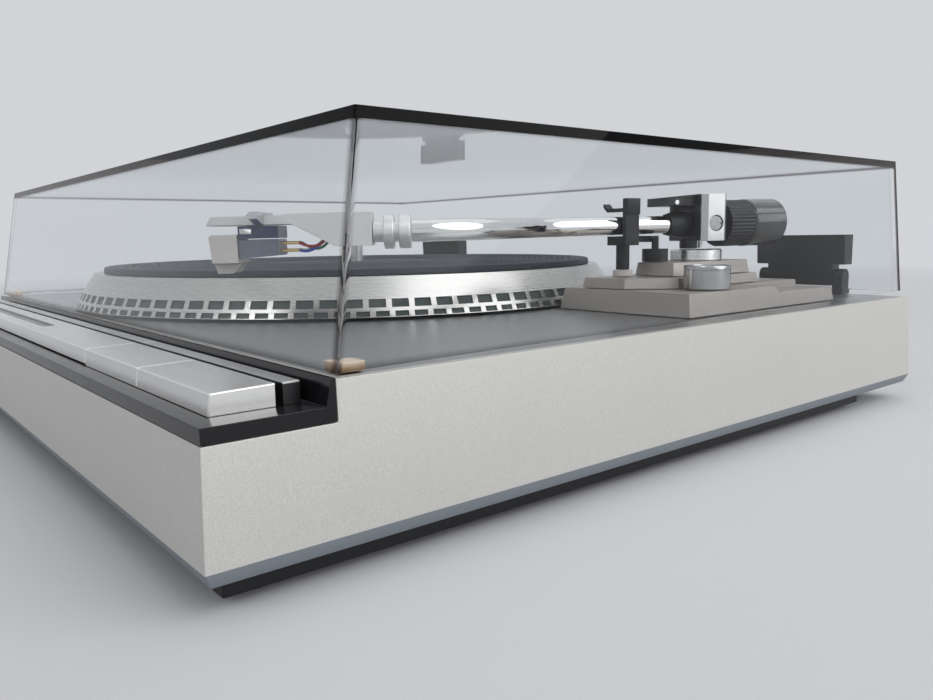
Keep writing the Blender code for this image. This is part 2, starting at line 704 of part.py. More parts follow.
def prism_mesh(name, outline, low, high, axis="Z"):
    """A flat outline drawn straight along an axis; the outline's points lie across that axis."""
    bm = bmesh.new()
    spots = {
        "X": [(low, a, b) for a, b in outline],
        "Y": [(a, low, b) for a, b in outline],
        "Z": [(a, b, low) for a, b in outline],
    }
    ways = {"X": Vector((1, 0, 0)), "Y": Vector((0, 1, 0)), "Z": Vector((0, 0, 1))}
    face = bm.faces.new([bm.verts.new(spot) for spot in spots[axis]])
    grown = bmesh.ops.extrude_face_region(bm, geom=[face])
    moved = [item for item in grown["geom"] if isinstance(item, bmesh.types.BMVert)]
    bmesh.ops.translate(bm, verts=moved, vec=ways[axis] * (high - low))
    bmesh.ops.recalc_face_normals(bm, faces=bm.faces)
    return finish_mesh(bm, name)


def tube_mesh(name, points, radius, resolution=4):
    """A round tube along a line of points, with its ends closed."""
    curve = bpy.data.curves.new(name, "CURVE")
    curve.dimensions = "3D"
    curve.bevel_depth = radius
    curve.bevel_resolution = resolution
    curve.use_fill_caps = True
    spline = curve.splines.new("POLY")
    spline.points.add(len(points) - 1)
    for knot, spot in zip(spline.points, points):
        knot.co = (*spot, 1.0)
    holder = bpy.data.objects.new(name, curve)
    bpy.context.scene.collection.objects.link(holder)
    evaluated = holder.evaluated_get(bpy.context.evaluated_depsgraph_get())
    mesh = bpy.data.meshes.new_from_object(evaluated)
    bpy.data.objects.remove(holder, do_unlink=True)
    bm = bmesh.new()
    bm.from_mesh(mesh)
    bmesh.ops.remove_doubles(bm, verts=bm.verts, dist=radius / 100)
    bpy.data.meshes.remove(mesh)
    return finish_mesh(bm, name, smooth=True)


def rounded_line(corners, radius, steps):
    """A flat line through corners, with an arc of the given radius in place of each inner corner."""
    spots = [Vector((*corners[0], 0.0))]
    for before, corner, after in zip(corners, corners[1:], corners[2:]):
        here = Vector((*corner, 0.0))
        into = (here - Vector((*before, 0.0))).normalized()
        out = (Vector((*after, 0.0)) - here).normalized()
        turn = into.angle(out)
        side = 1.0 if into.cross(out).z > 0 else -1.0
        start = here - into * radius * math.tan(turn / 2)
        centre = start + Vector((-into.y, into.x, 0.0)) * radius * side
        for count in range(steps + 1):
            spin = Matrix.Rotation(side * turn * count / steps, 3, "Z")
            spots.append(centre + spin @ (start - centre))
    spots.append(Vector((*corners[-1], 0.0)))
    return spots


def make_materials():
    return {
        "paint": new_material("silver_paint", (0.62, 0.61, 0.58), 0.42, 0.55),
        "deck": new_material("brushed_deck", (0.50, 0.49, 0.47), 0.38, 0.9),
        "casting": new_material("satin_casting", (0.42, 0.40, 0.37), 0.45, 0.8),
        "platter": new_material("turned_aluminium", (0.66, 0.64, 0.60), 0.30, 1.0),
        "aluminium": new_material("brushed_aluminium", (0.78, 0.77, 0.75), 0.28, 1.0),
        "steel": new_material("bright_steel", (0.62, 0.62, 0.62), 0.22, 1.0),
        "chrome": new_material("chrome", (0.80, 0.79, 0.77), 0.07, 1.0),
        "brass": new_material("gilded_brass", (0.80, 0.62, 0.34), 0.30, 1.0),
        "black": new_material("black_plastic", (0.015, 0.015, 0.018), 0.45),
        "gloss": new_material("black_gloss", (0.012, 0.012, 0.014), 0.12),
        "rubber": new_material("dark_rubber", (0.035, 0.038, 0.045), 0.70),
        "pale": new_material("pale_plastic", (0.62, 0.60, 0.55), 0.40),
        "slate": new_material("slate_plastic", (0.10, 0.12, 0.16), 0.40),
        "amber": new_material("amber_rubber", (0.45, 0.25, 0.10), 0.50),
        "clear": new_material("clear_acrylic", (0.80, 0.84, 0.88), 0.03, 0.0, 0.9),
        "lead": new_material("lead_wire", (0.10, 0.10, 0.30), 0.45),
        "board": new_material("circuit_board", (0.30, 0.20, 0.08), 0.50),
    }


def half_width_at(height):
    """Half of the plinth's width at a height on its leaning sides."""
    return RIGHT_X - SIDE_DRAFT_SHARE * (height - PLINTH_BOTTOM - CHAMFER_HEIGHT)


def half_depth_at(height):
    """Half of the plinth's depth at a height on its leaning front and rear."""
    return REAR_Y - END_DRAFT_SHARE * (height - PLINTH_BOTTOM - CHAMFER_HEIGHT)


def stem_places():
    """Centres of the stems under the two keys and the lifter key."""
    key_y = (KEY_FRONT_Y + KEY_REAR_Y) / 2
    bar_y = (REAR_BAR_FRONT_Y + REAR_BAR_REAR_Y) / 2
    right_x = (KEY_SPLIT_X + KEY_END_X) / 2
    left_x = (BAR_SPLIT_X + KEY_SPLIT_X) / 2
    return {"start_key": (right_x, key_y), "stop_key": (left_x, key_y), "lift_key": (right_x, bar_y)}


def stem_half_depth(name):
    """Half of a stem's size along Y: the lifter key is narrower than the others."""
    if name == "lift_key":
        return (REAR_BAR_REAR_Y - REAR_BAR_FRONT_Y) / 2 - KEY_CLEARANCE
    return STEM_DEPTH / 2


def stem_hole_boxes(low, high):
    boxes = []
    for name, (x, y) in stem_places().items():
        half_x = STEM_WIDTH / 2 + KEY_CLEARANCE
        half_y = stem_half_depth(name) + KEY_CLEARANCE
        boxes.append(((x - half_x, y - half_y, low), (x + half_x, y + half_y, high)))
    return boxes


def plinth_mesh():
    """The outer form: a leaning box with a chamfer round its bottom."""
    bm = bmesh.new()
    side, end = half_width_at(DECK_HEIGHT), half_depth_at(DECK_HEIGHT)
    foot = PLINTH_BOTTOM + CHAMFER_HEIGHT
    verts = add_box(bm, (-1, -1, foot), (1, 1, DECK_HEIGHT))
    for vert in verts:
        top = vert.co.z > foot
        vert.co.x *= side if top else RIGHT_X
        vert.co.y *= end if top else REAR_Y
    bottom = min(bm.faces, key=lambda face: face.calc_center_median().z)
    grown = bmesh.ops.extrude_face_region(bm, geom=[bottom])
    lower = [item for item in grown["geom"] if isinstance(item, bmesh.types.BMVert)]
    bmesh.ops.delete(bm, geom=[bottom], context="FACES_ONLY")
    for vert in lower:
        vert.co.z -= CHAMFER_HEIGHT
        vert.co.x -= math.copysign(CHAMFER_WIDTH, vert.co.x)
        vert.co.y -= math.copysign(CHAMFER_WIDTH, vert.co.y)
    return finish_mesh(bm, "plinth_shell")


def build_plinth(parts, cutters, looks):
    plinth = add_object(parts, "plinth_shell", plinth_mesh(), looks["paint"])
    wide, deep = PLINTH_WIDTH, PLINTH_DEPTH
    inner_x = RIGHT_X - PLINTH_WALL
    inner_y = REAR_Y - PLINTH_WALL
    step_inner_y = STEP_FACE_Y + STEP_WALL
    rim_x = half_width_at(DECK_HEIGHT) - RIM_WIDTH
    rim_rear_y = half_depth_at(DECK_HEIGHT) - RIM_WIDTH
    pocket_floor = DECK_HEIGHT - DECK_THICKNESS - SEAT_GAP
    cover_inner_y = COVER_REAR_Y - PLINTH_WALL / 2
    cuts = {
        "ledge_cut": ((-wide, -deep, LEDGE_HEIGHT), (wide, STEP_FACE_Y, DECK_HEIGHT + OVERRUN)),
        "deck_pocket": (
            (-rim_x, STEP_FACE_Y + RIM_WIDTH, pocket_floor), (rim_x, rim_rear_y, DECK_HEIGHT + OVERRUN)
        ),
        "upper_hollow": (
            (-inner_x, step_inner_y, PLINTH_BOTTOM + REAR_FLOOR), (inner_x, inner_y, pocket_floor + OVERRUN),
        ),
        "lower_hollow": (
            (-inner_x, -inner_y, PLINTH_BOTTOM - OVERRUN), (
                inner_x, cover_inner_y, LEDGE_HEIGHT - LEDGE_SKIN
            ),
        ),
    }
    for name, (low, high) in cuts.items():
        boolean(plinth, add_cutter(cutters, name, box_mesh(name, low, high)))
    holes = boxes_mesh(
        "stem_holes", stem_hole_boxes(LEDGE_HEIGHT - LEDGE_SKIN - OVERRUN, LEDGE_HEIGHT + OVERRUN)
    )
    boolean(plinth, add_cutter(cutters, "stem_holes", holes))
    build_rear_fittings(parts, cutters, looks, plinth, inner_y)


def build_rear_fittings(parts, cutters, looks, plinth, inner_y):
    """Signal sockets, earth terminal and cord gland, sunk in pockets of the rear wall."""
    left_socket, right_socket = SOCKET_PAIR_X - SOCKET_SPACING / 2, SOCKET_PAIR_X + SOCKET_SPACING / 2
    low, high = REAR_FITTINGS_Z - POCKET_HALF_HEIGHT, REAR_FITTINGS_Z + POCKET_HALF_HEIGHT
    socket_edge = SOCKET_FLANGE_RADIUS + POCKET_MARGIN
    gland_edge = GLAND_FLANGE_RADIUS + POCKET_MARGIN
    pockets = boxes_mesh("rear_pockets", [
        ((left_socket - socket_edge, REAR_POCKET_FLOOR_Y, low), (EARTH_X + socket_edge, PLINTH_DEPTH, high)),
        ((GLAND_X - gland_edge, REAR_POCKET_FLOOR_Y, low), (GLAND_X + gland_edge, PLINTH_DEPTH, high)),
    ])
    boolean(plinth, add_cutter(cutters, "rear_pockets", pockets))
    bore_ends = (inner_y - OVERRUN, REAR_POCKET_FLOOR_Y + OVERRUN)
    bores = cylinders_mesh("rear_bores", [
        ((left_socket, REAR_FITTINGS_Z), SOCKET_RADIUS + SEAT_GAP, *bore_ends),
        ((right_socket, REAR_FITTINGS_Z), SOCKET_RADIUS + SEAT_GAP, *bore_ends),
        ((EARTH_X, REAR_FITTINGS_Z), EARTH_RADIUS + SEAT_GAP, *bore_ends),
        ((GLAND_X, REAR_FITTINGS_Z), GLAND_RADIUS + SEAT_GAP, *bore_ends),
    ], axis="Y")
    boolean(plinth, add_cutter(cutters, "rear_bores", bores))
    flange_low = REAR_POCKET_FLOOR_Y + SEAT_GAP
    facing_rear = (math.radians(-90), 0, 0)

    def fitting_profile(radius, flange_radius, tip, bore):
        outer = [
            (radius, tip), (radius, flange_low + FITTING_FLANGE), (flange_radius, flange_low + FITTING_FLANGE)
        ]
        outer += [(flange_radius, flange_low), (radius, flange_low), (radius, SOCKET_INSIDE_Y)]
        return [(bore, tip)] + outer + [(bore, SOCKET_INSIDE_Y)]

    gland = fitting_profile(GLAND_RADIUS, GLAND_FLANGE_RADIUS, SOCKET_TIP_Y, GLAND_BORE_RADIUS)
    add_turned(parts, "cord_gland", gland, looks["black"], None, (GLAND_X, 0, REAR_FITTINGS_Z), facing_rear,
               closed=True, steps=SMALL_STEPS)
    earth = fitting_profile(EARTH_RADIUS, EARTH_HEAD_RADIUS, SOCKET_TIP_Y, 0.0)
    add_turned(parts, "earth_terminal", earth, looks["steel"], None, (EARTH_X, 0, REAR_FITTINGS_Z), facing_rear,
               steps=SMALL_STEPS)
    strip_low, strip_high = flange_low, flange_low + FITTING_FLANGE
    reach = SOCKET_FLANGE_RADIUS
    strip = box_mesh(
        "signal_sockets", (left_socket - reach, strip_low, REAR_FITTINGS_Z - reach),
        (right_socket + reach, strip_high, REAR_FITTINGS_Z + reach),
    )
    sockets = add_object(parts, "signal_sockets", strip, looks["black"])
    jacks = cylinders_mesh("socket_jacks", [
        ((x, REAR_FITTINGS_Z), SOCKET_RADIUS, SOCKET_INSIDE_Y, SOCKET_TIP_Y) for x in (
            left_socket, right_socket
        )
    ], axis="Y")
    boolean(sockets, add_cutter(cutters, "socket_jacks", jacks), "UNION")


def build_deck(parts, cutters, looks):
    half_x = half_width_at(DECK_HEIGHT) - RIM_WIDTH - SEAT_GAP
    rear_y = half_depth_at(DECK_HEIGHT) - RIM_WIDTH - SEAT_GAP
    front_y = STEP_FACE_Y + RIM_WIDTH + SEAT_GAP
    bottom = DECK_HEIGHT - DECK_THICKNESS
    plate = box_mesh("deck_plate", (-half_x, front_y, bottom), (half_x, rear_y, DECK_HEIGHT))
    deck = add_object(parts, "deck_plate", plate, looks["deck"])
    ends = (bottom - OVERRUN, DECK_HEIGHT + OVERRUN)
    holes = cylinders_mesh("deck_holes", [
        ((SPINDLE_X, SPINDLE_Y), BEARING_RADIUS + SEAT_GAP, *ends),
        ((PIVOT_X, PIVOT_Y), SHAFT_RADIUS + SHAFT_CLEARANCE, *ends),
    ])
    boolean(deck, add_cutter(cutters, "deck_holes", holes))


def build_base(parts, cutters, looks):
    half_x = RIGHT_X - COVER_INSET
    front_y = COVER_INSET - REAR_Y
    top = PLINTH_BOTTOM - SEAT_GAP
    cover = add_object(
        parts, "base_cover",
        box_mesh("base_cover", (-half_x, front_y, COVER_BOTTOM), (half_x, COVER_REAR_Y, top)), looks["black"],
    )
    low = (-half_x + COVER_RIM, front_y + COVER_RIM, COVER_BOTTOM + COVER_FLOOR)
    high = (half_x - COVER_RIM, COVER_REAR_Y - COVER_RIM, top + OVERRUN)
    boolean(cover, add_cutter(cutters, "cover_hollow", box_mesh("cover_hollow", low, high)))
    foot_top = COVER_BOTTOM - SEAT_GAP
    profile = [
        (0, foot_top), (FOOT_RADIUS, foot_top), (FOOT_RADIUS, FOOT_BEVEL), (FOOT_RADIUS - FOOT_BEVEL, 0), (
            0, 0
        ),
    ]
    places = {
        "foot_front_left": (-half_x + FOOT_INSET_X, front_y + FOOT_INSET_Y),
        "foot_front_right": (half_x - FOOT_INSET_X, front_y + FOOT_INSET_Y),
        "foot_rear_left": (-half_x + FOOT_INSET_X, COVER_REAR_Y - FOOT_INSET_Y),
        "foot_rear_right": (half_x - FOOT_INSET_X, COVER_REAR_Y - FOOT_INSET_Y),
    }
    for name, (x, y) in places.items():
        add_turned(parts, name, profile, looks["rubber"], None, (x, y, 0), steps=SMALL_STEPS)


def build_inside(parts, cutters, looks):
    """Mains transformer and circuit board on the base cover."""
    floor = INSIDE_FLOOR
    half_length, half_depth = TRANSFORMER_LENGTH / 2, TRANSFORMER_DEPTH / 2
    core = box_mesh(
        "transformer", (-half_length, -half_depth, floor), (
            half_length, half_depth, floor + TRANSFORMER_HEIGHT
        )
    )
    transformer = add_object(
        parts, "transformer", core, looks["steel"], None, (TRANSFORMER_X, TRANSFORMER_Y, 0)
    )
    middle = floor + TRANSFORMER_HEIGHT / 2
    coil = box_mesh(
        "transformer_winding",
        (-TRANSFORMER_COIL_LENGTH / 2, -TRANSFORMER_COIL_DEPTH / 2, middle - TRANSFORMER_COIL_HEIGHT / 2),
        (TRANSFORMER_COIL_LENGTH / 2, TRANSFORMER_COIL_DEPTH / 2, middle + TRANSFORMER_COIL_HEIGHT / 2),
    )
    winding = add_cutter(cutters, "transformer_winding", coil, None, (TRANSFORMER_X, TRANSFORMER_Y, 0))
    boolean(transformer, winding, "UNION")

    half_length, half_depth = BOARD_LENGTH / 2, BOARD_DEPTH / 2
    panel = box_mesh(
        "circuit_board", (-half_length, -half_depth, BOARD_HEIGHT),
        (half_length, half_depth, BOARD_HEIGHT + BOARD_THICKNESS),
    )
    board = add_object(parts, "circuit_board", panel, looks["board"], None, (BOARD_X, BOARD_Y, 0))
    post_x, post_y = half_length - BOARD_POST_INSET, half_depth - BOARD_POST_INSET
    corners = [(side * post_x, end * post_y) for side in (-1, 1) for end in (-1, 1)]
    posts = cylinders_mesh("board_posts", [
        (corner, BOARD_POST_RADIUS, floor, BOARD_HEIGHT + BOARD_THICKNESS / 2) for corner in corners
    ], steps=TINY_STEPS)
    boolean(board, add_cutter(cutters, "board_posts", posts, None, (BOARD_X, BOARD_Y, 0)), "UNION")


def tray_outline():
    """Section of the control tray across X: a slab with an upright at its rear."""
    bottom = LEDGE_HEIGHT + SEAT_GAP
    return [
        (TRAY_FRONT_Y, bottom), (TRAY_REAR_Y, bottom), (TRAY_REAR_Y, TRAY_WALL_TOP),
        (TRAY_REAR_Y - TRAY_WALL_TIP, TRAY_WALL_TOP), (TRAY_REAR_Y - TRAY_WALL_FOOT, TRAY_TOP),
        (TRAY_FRONT_Y, TRAY_TOP),
    ]


def build_tray(parts, cutters, looks):
    tray = add_object(
        parts, "control_tray", prism_mesh(
            "control_tray", tray_outline(), -TRAY_HALF_WIDTH, TRAY_HALF_WIDTH, "X"
        ),
        looks["black"],
    )
    floor = KEY_BOTTOM - KEY_TRAVEL - POCKET_SPARE
    pocket = boxes_mesh("key_pockets", [
        (
            (BAR_SPLIT_X, KEY_FRONT_Y - KEY_CLEARANCE, floor),
            (KEY_END_X + KEY_CLEARANCE, KEY_REAR_Y + KEY_CLEARANCE, TRAY_TOP + OVERRUN),
        ),
        (
            (BAR_SPLIT_X, REAR_BAR_FRONT_Y - KEY_CLEARANCE, floor),
            (KEY_END_X + KEY_CLEARANCE, REAR_BAR_REAR_Y + KEY_CLEARANCE, TRAY_TOP + OVERRUN),
        ),
    ])
    boolean(tray, add_cutter(cutters, "key_pockets", pocket))
    holes = boxes_mesh("tray_holes", stem_hole_boxes(LEDGE_HEIGHT - OVERRUN, TRAY_TOP))
    boolean(tray, add_cutter(cutters, "tray_holes", holes))


def key_outline(bottom):
    """Section of a key or of the long bar across X, its front face leaning back a little."""
    return [
        (KEY_FRONT_Y, bottom), (KEY_REAR_Y, bottom), (KEY_REAR_Y, KEY_REAR_TOP),
        (KEY_FRONT_Y + KEY_FRONT_LEAN, KEY_FRONT_TOP),
    ]


def build_keys(parts, cutters, looks):
    """Two sprung keys, each a length of aluminium bar with a guide stem under it."""
    spans = {"start_key": (KEY_SPLIT_X, KEY_END_X), "stop_key": (BAR_SPLIT_X, KEY_SPLIT_X)}
    stem_bottom = LEDGE_HEIGHT - LEDGE_SKIN - STEM_REACH
    for name, (left, right) in spans.items():
        left_x, right_x = left + KEY_CLEARANCE, right - KEY_CLEARANCE
        key = add_object(
            parts, name, prism_mesh(name, key_outline(KEY_BOTTOM), left_x, right_x, "X"), looks["aluminium"]
        )
        x, y = stem_places()[name]
        half_y = stem_half_depth(name)
        stem = box_mesh(
            name + "_stem", (x - STEM_WIDTH / 2, y - half_y, stem_bottom),
            (x + STEM_WIDTH / 2, y + half_y, KEY_BOTTOM + OVERRUN),
        )
        bevel(key, KEY_BEVEL, 2)
        boolean(key, add_cutter(cutters, name + "_stem", stem), "UNION")


def build_lift_key(parts, cutters, looks):
    """The narrow key behind the two wide ones."""
    left_x, right_x = BAR_SPLIT_X + KEY_CLEARANCE, KEY_END_X - KEY_CLEARANCE
    low = (left_x, REAR_BAR_FRONT_Y, KEY_BOTTOM)
    high = (right_x, REAR_BAR_REAR_Y, REAR_BAR_TOP)
    key = add_object(parts, "lift_key", box_mesh("lift_key", low, high), looks["black"])
    x, y = stem_places()["lift_key"]
    half_y = stem_half_depth("lift_key")
    stem = box_mesh(
        "lift_key_stem", (x - STEM_WIDTH / 2, y - half_y, LEDGE_HEIGHT - LEDGE_SKIN - STEM_REACH),
        (x + STEM_WIDTH / 2, y + half_y, KEY_BOTTOM + OVERRUN),
    )
    boolean(key, add_cutter(cutters, "lift_key_stem", stem), "UNION")


def build_long_bar(parts, cutters, looks):
    """The fixed bar left of the keys, with a dark window let into a slot."""
    bottom = TRAY_TOP + SEAT_GAP
    right_x = BAR_SPLIT_X - KEY_CLEARANCE
    bar = add_object(
        parts, "display_bar", prism_mesh("display_bar", key_outline(bottom), -KEY_END_X, right_x, "X"),
        looks["aluminium"],
    )
    slot_floor = KEY_FRONT_TOP - WINDOW_DEPTH
    slot = box_mesh(
        "window_slot", (WINDOW_LEFT_X, WINDOW_FRONT_Y, slot_floor),
        (WINDOW_RIGHT_X, WINDOW_REAR_Y, KEY_REAR_TOP + OVERRUN),
    )
    bevel(bar, KEY_BEVEL, 2)
    boolean(bar, add_cutter(cutters, "window_slot", slot))
    window = box_mesh(
        "display_window",
        (WINDOW_LEFT_X + SEAT_GAP, WINDOW_FRONT_Y + SEAT_GAP, slot_floor + SEAT_GAP),
        (WINDOW_RIGHT_X - SEAT_GAP, WINDOW_REAR_Y - SEAT_GAP, KEY_FRONT_TOP - WINDOW_SINK),
    )
    add_object(parts, "display_window", window, looks["gloss"])
    low = (-KEY_END_X, REAR_BAR_FRONT_Y, bottom)
    high = (right_x, REAR_BAR_REAR_Y, REAR_BAR_TOP)
    add_object(parts, "rear_trim_bar", box_mesh("rear_trim_bar", low, high), looks["black"])


def strobe_heights():
    """Heights of the two rows of strobe pockets on the cone, from the lower row up."""
    lower = PLATTER_BOTTOM + STROBE_MARGIN
    lower_top = lower + STROBE_LOWER_HEIGHT
    upper = lower_top + STROBE_ROW_GAP
    return lower, lower_top, upper, upper + STROBE_UPPER_HEIGHT


def cone_radius(height):
    """Radius of the platter's lower cone at a height."""
    share = (height - PLATTER_BOTTOM) / (STROBE_TOP - PLATTER_BOTTOM)
    return PLATTER_RADIUS + (STROBE_TOP_RADIUS - PLATTER_RADIUS) * share


def add_ring(bm, radius, height, count, pocket_share=None):
    """A ring of vertices; with a share, columns of pocket and web take turns round it."""
    place = Matrix.Translation((0, 0, height))
    verts = bmesh.ops.create_circle(bm, segments=count, radius=radius, matrix=place)["verts"]
    if pocket_share is not None:
        pitch = 2 * math.tau / count
        shift = Matrix.Rotation((pocket_share - 0.5) * pitch, 3, "Z")
        bmesh.ops.rotate(bm, verts=verts[1::2], cent=(0, 0, 0), matrix=shift)
    return verts


def ring_edges(verts):
    """The edges that run round one ring."""
    members = set(verts)
    return [edge for vert in verts for edge in vert.link_edges if edge.other_vert(vert) in members]


def pocket_faces(faces):
    """Every second face round a row: the pockets are the wider ones."""
    spans = sorted(face.calc_area() for face in faces)
    middle = (spans[0] + spans[-1]) / 2
    return [face for face in faces if face.calc_area() > middle]


def platter_mesh():
    """The platter as rings bridged into one wall, with two rows of strobe pockets sunk in its cone."""
    low, low_top, high, high_top = strobe_heights()
    under = PLATTER_TOP - PLATTER_TOP_SKIN
    bore = SPINDLE_RADIUS + SPINDLE_CLEARANCE
    lower_ring = 2 * STROBE_LOWER_COUNT
    upper_ring = 2 * STROBE_UPPER_COUNT
    lines = [
        (PLATTER_RADIUS - PLATTER_WALL, PLATTER_BOTTOM, BODY_RING_COUNT, None),
        (PLATTER_RADIUS, PLATTER_BOTTOM, BODY_RING_COUNT, None),
        (cone_radius(low), low, lower_ring, STROBE_LOWER_SHARE),
        (cone_radius(low_top), low_top, lower_ring, STROBE_LOWER_SHARE),
        (cone_radius(high), high, upper_ring, STROBE_UPPER_SHARE),
        (cone_radius(high_top), high_top, upper_ring, STROBE_UPPER_SHARE),
        (STROBE_TOP_RADIUS, STROBE_TOP, BODY_RING_COUNT, None),
        (PLATTER_TOP_RADIUS, PLATTER_TOP, BODY_RING_COUNT, None),
        (bore, PLATTER_TOP, HUB_RING_COUNT, None),
        (bore, under - HUB_DROP, HUB_RING_COUNT, None),
        (HUB_RADIUS, under - HUB_DROP, HUB_RING_COUNT, None),
        (HUB_RADIUS, under, HUB_RING_COUNT, None),
        (PLATTER_TOP_RADIUS - PLATTER_WALL, under, BODY_RING_COUNT, None),
        (STROBE_TOP_RADIUS - PLATTER_WALL, STROBE_TOP, BODY_RING_COUNT, None),
    ]
    bm = bmesh.new()
    rings = [add_ring(bm, *line) for line in lines]
    rows = {}
    for index, ring in enumerate(rings):
        after = rings[(index + 1) % len(rings)]
        edges = list(set(ring_edges(ring) + ring_edges(after)))
        rows[index] = bmesh.ops.bridge_loops(bm, edges=edges)["faces"]
    bmesh.ops.recalc_face_normals(bm, faces=bm.faces)
    pockets = pocket_faces(rows[2]) + pocket_faces(rows[4])
    bmesh.ops.inset_individual(
        bm, faces=pockets, thickness=STROBE_POCKET_DRAFT, depth=-STROBE_POCKET_DEPTH, use_even_offset=True
    )
    return finish_mesh(bm, "platter", smooth=True)


def build_platter(parts, cutters, looks, spindle_place):
    add_object(parts, "platter", platter_mesh(), looks["platter"], spindle_place)
    mat_bottom = PLATTER_TOP + SEAT_GAP
    profile = [
        (MAT_HOLE_RADIUS, MAT_TOP), (MAT_RADIUS - MAT_BEVEL, MAT_TOP), (MAT_RADIUS, MAT_TOP - MAT_BEVEL),
        (MAT_RADIUS, mat_bottom), (MAT_HOLE_RADIUS, mat_bottom),
    ]
    add_turned(parts, "platter_mat", profile, looks["rubber"], spindle_place, closed=True, steps=MAT_STEPS)
    tip = MAT_TOP + SPINDLE_RISE
    foot = BEARING_BOTTOM + BEARING_FLOOR + SEAT_GAP
    profile = [
        (0, tip), (SPINDLE_RADIUS - SPINDLE_CHAMFER, tip), (SPINDLE_RADIUS, tip - SPINDLE_CHAMFER),
        (SPINDLE_RADIUS, foot), (0, foot),
    ]
    add_turned(parts, "spindle", profile, looks["steel"], spindle_place, steps=HUB_RING_COUNT)
    rotor = (ROTOR_INNER_RADIUS, ROTOR_OUTER_RADIUS, ROTOR_BOTTOM, ROTOR_BOTTOM + ROTOR_THICKNESS)
    profile = ring_profile(*rotor)
    add_turned(parts, "rotor_ring", profile, looks["steel"], spindle_place, closed=True)


def ring_profile(inner, outer, low, high):
    """Section of a plain ring, down its outer side."""
    return [(inner, high), (outer, high), (outer, low), (inner, low)]


def build_motor(parts, cutters, looks, spindle_base):
    """Bearing housing through the deck, and the stator round it with a circle of coils."""
    seat = DECK_HEIGHT + SEAT_GAP
    top = PLATTER_TOP - PLATTER_TOP_SKIN - HUB_DROP - BEARING_TOP_GAP
    bore = SPINDLE_RADIUS + SPINDLE_CLEARANCE
    profile = [
        (bore, top), (BEARING_RADIUS, top), (BEARING_RADIUS, seat + BEARING_FLANGE_THICKNESS),
        (BEARING_FLANGE_RADIUS, seat + BEARING_FLANGE_THICKNESS), (BEARING_FLANGE_RADIUS, seat),
        (BEARING_RADIUS, seat), (BEARING_RADIUS, BEARING_BOTTOM), (0, BEARING_BOTTOM),
    ]
    profile = [(0, BEARING_BOTTOM + BEARING_FLOOR), (bore, BEARING_BOTTOM + BEARING_FLOOR)] + profile
    add_turned(parts, "bearing_housing", profile, looks["brass"], spindle_base, steps=ROUND_STEPS)
    stator = add_turned(
        parts, "motor_stator",
        ring_profile(STATOR_INNER_RADIUS, ROTOR_OUTER_RADIUS, seat, STATOR_TOP),
        looks["board"], spindle_base, closed=True,
    )
    turns = [math.tau * count / COIL_COUNT for count in range(COIL_COUNT)]
    coils = cylinders_mesh("stator_coils", [
        (
            (COIL_CIRCLE_RADIUS * math.cos(turn), COIL_CIRCLE_RADIUS * math.sin(turn)), COIL_RADIUS,
            STATOR_TOP - STATOR_THICKNESS / 2, STATOR_TOP + COIL_HEIGHT,
        )
        for turn in turns
    ], steps=COIL_STEPS)
    boolean(stator, add_cutter(cutters, "stator_coils", coils, spindle_base), "UNION")


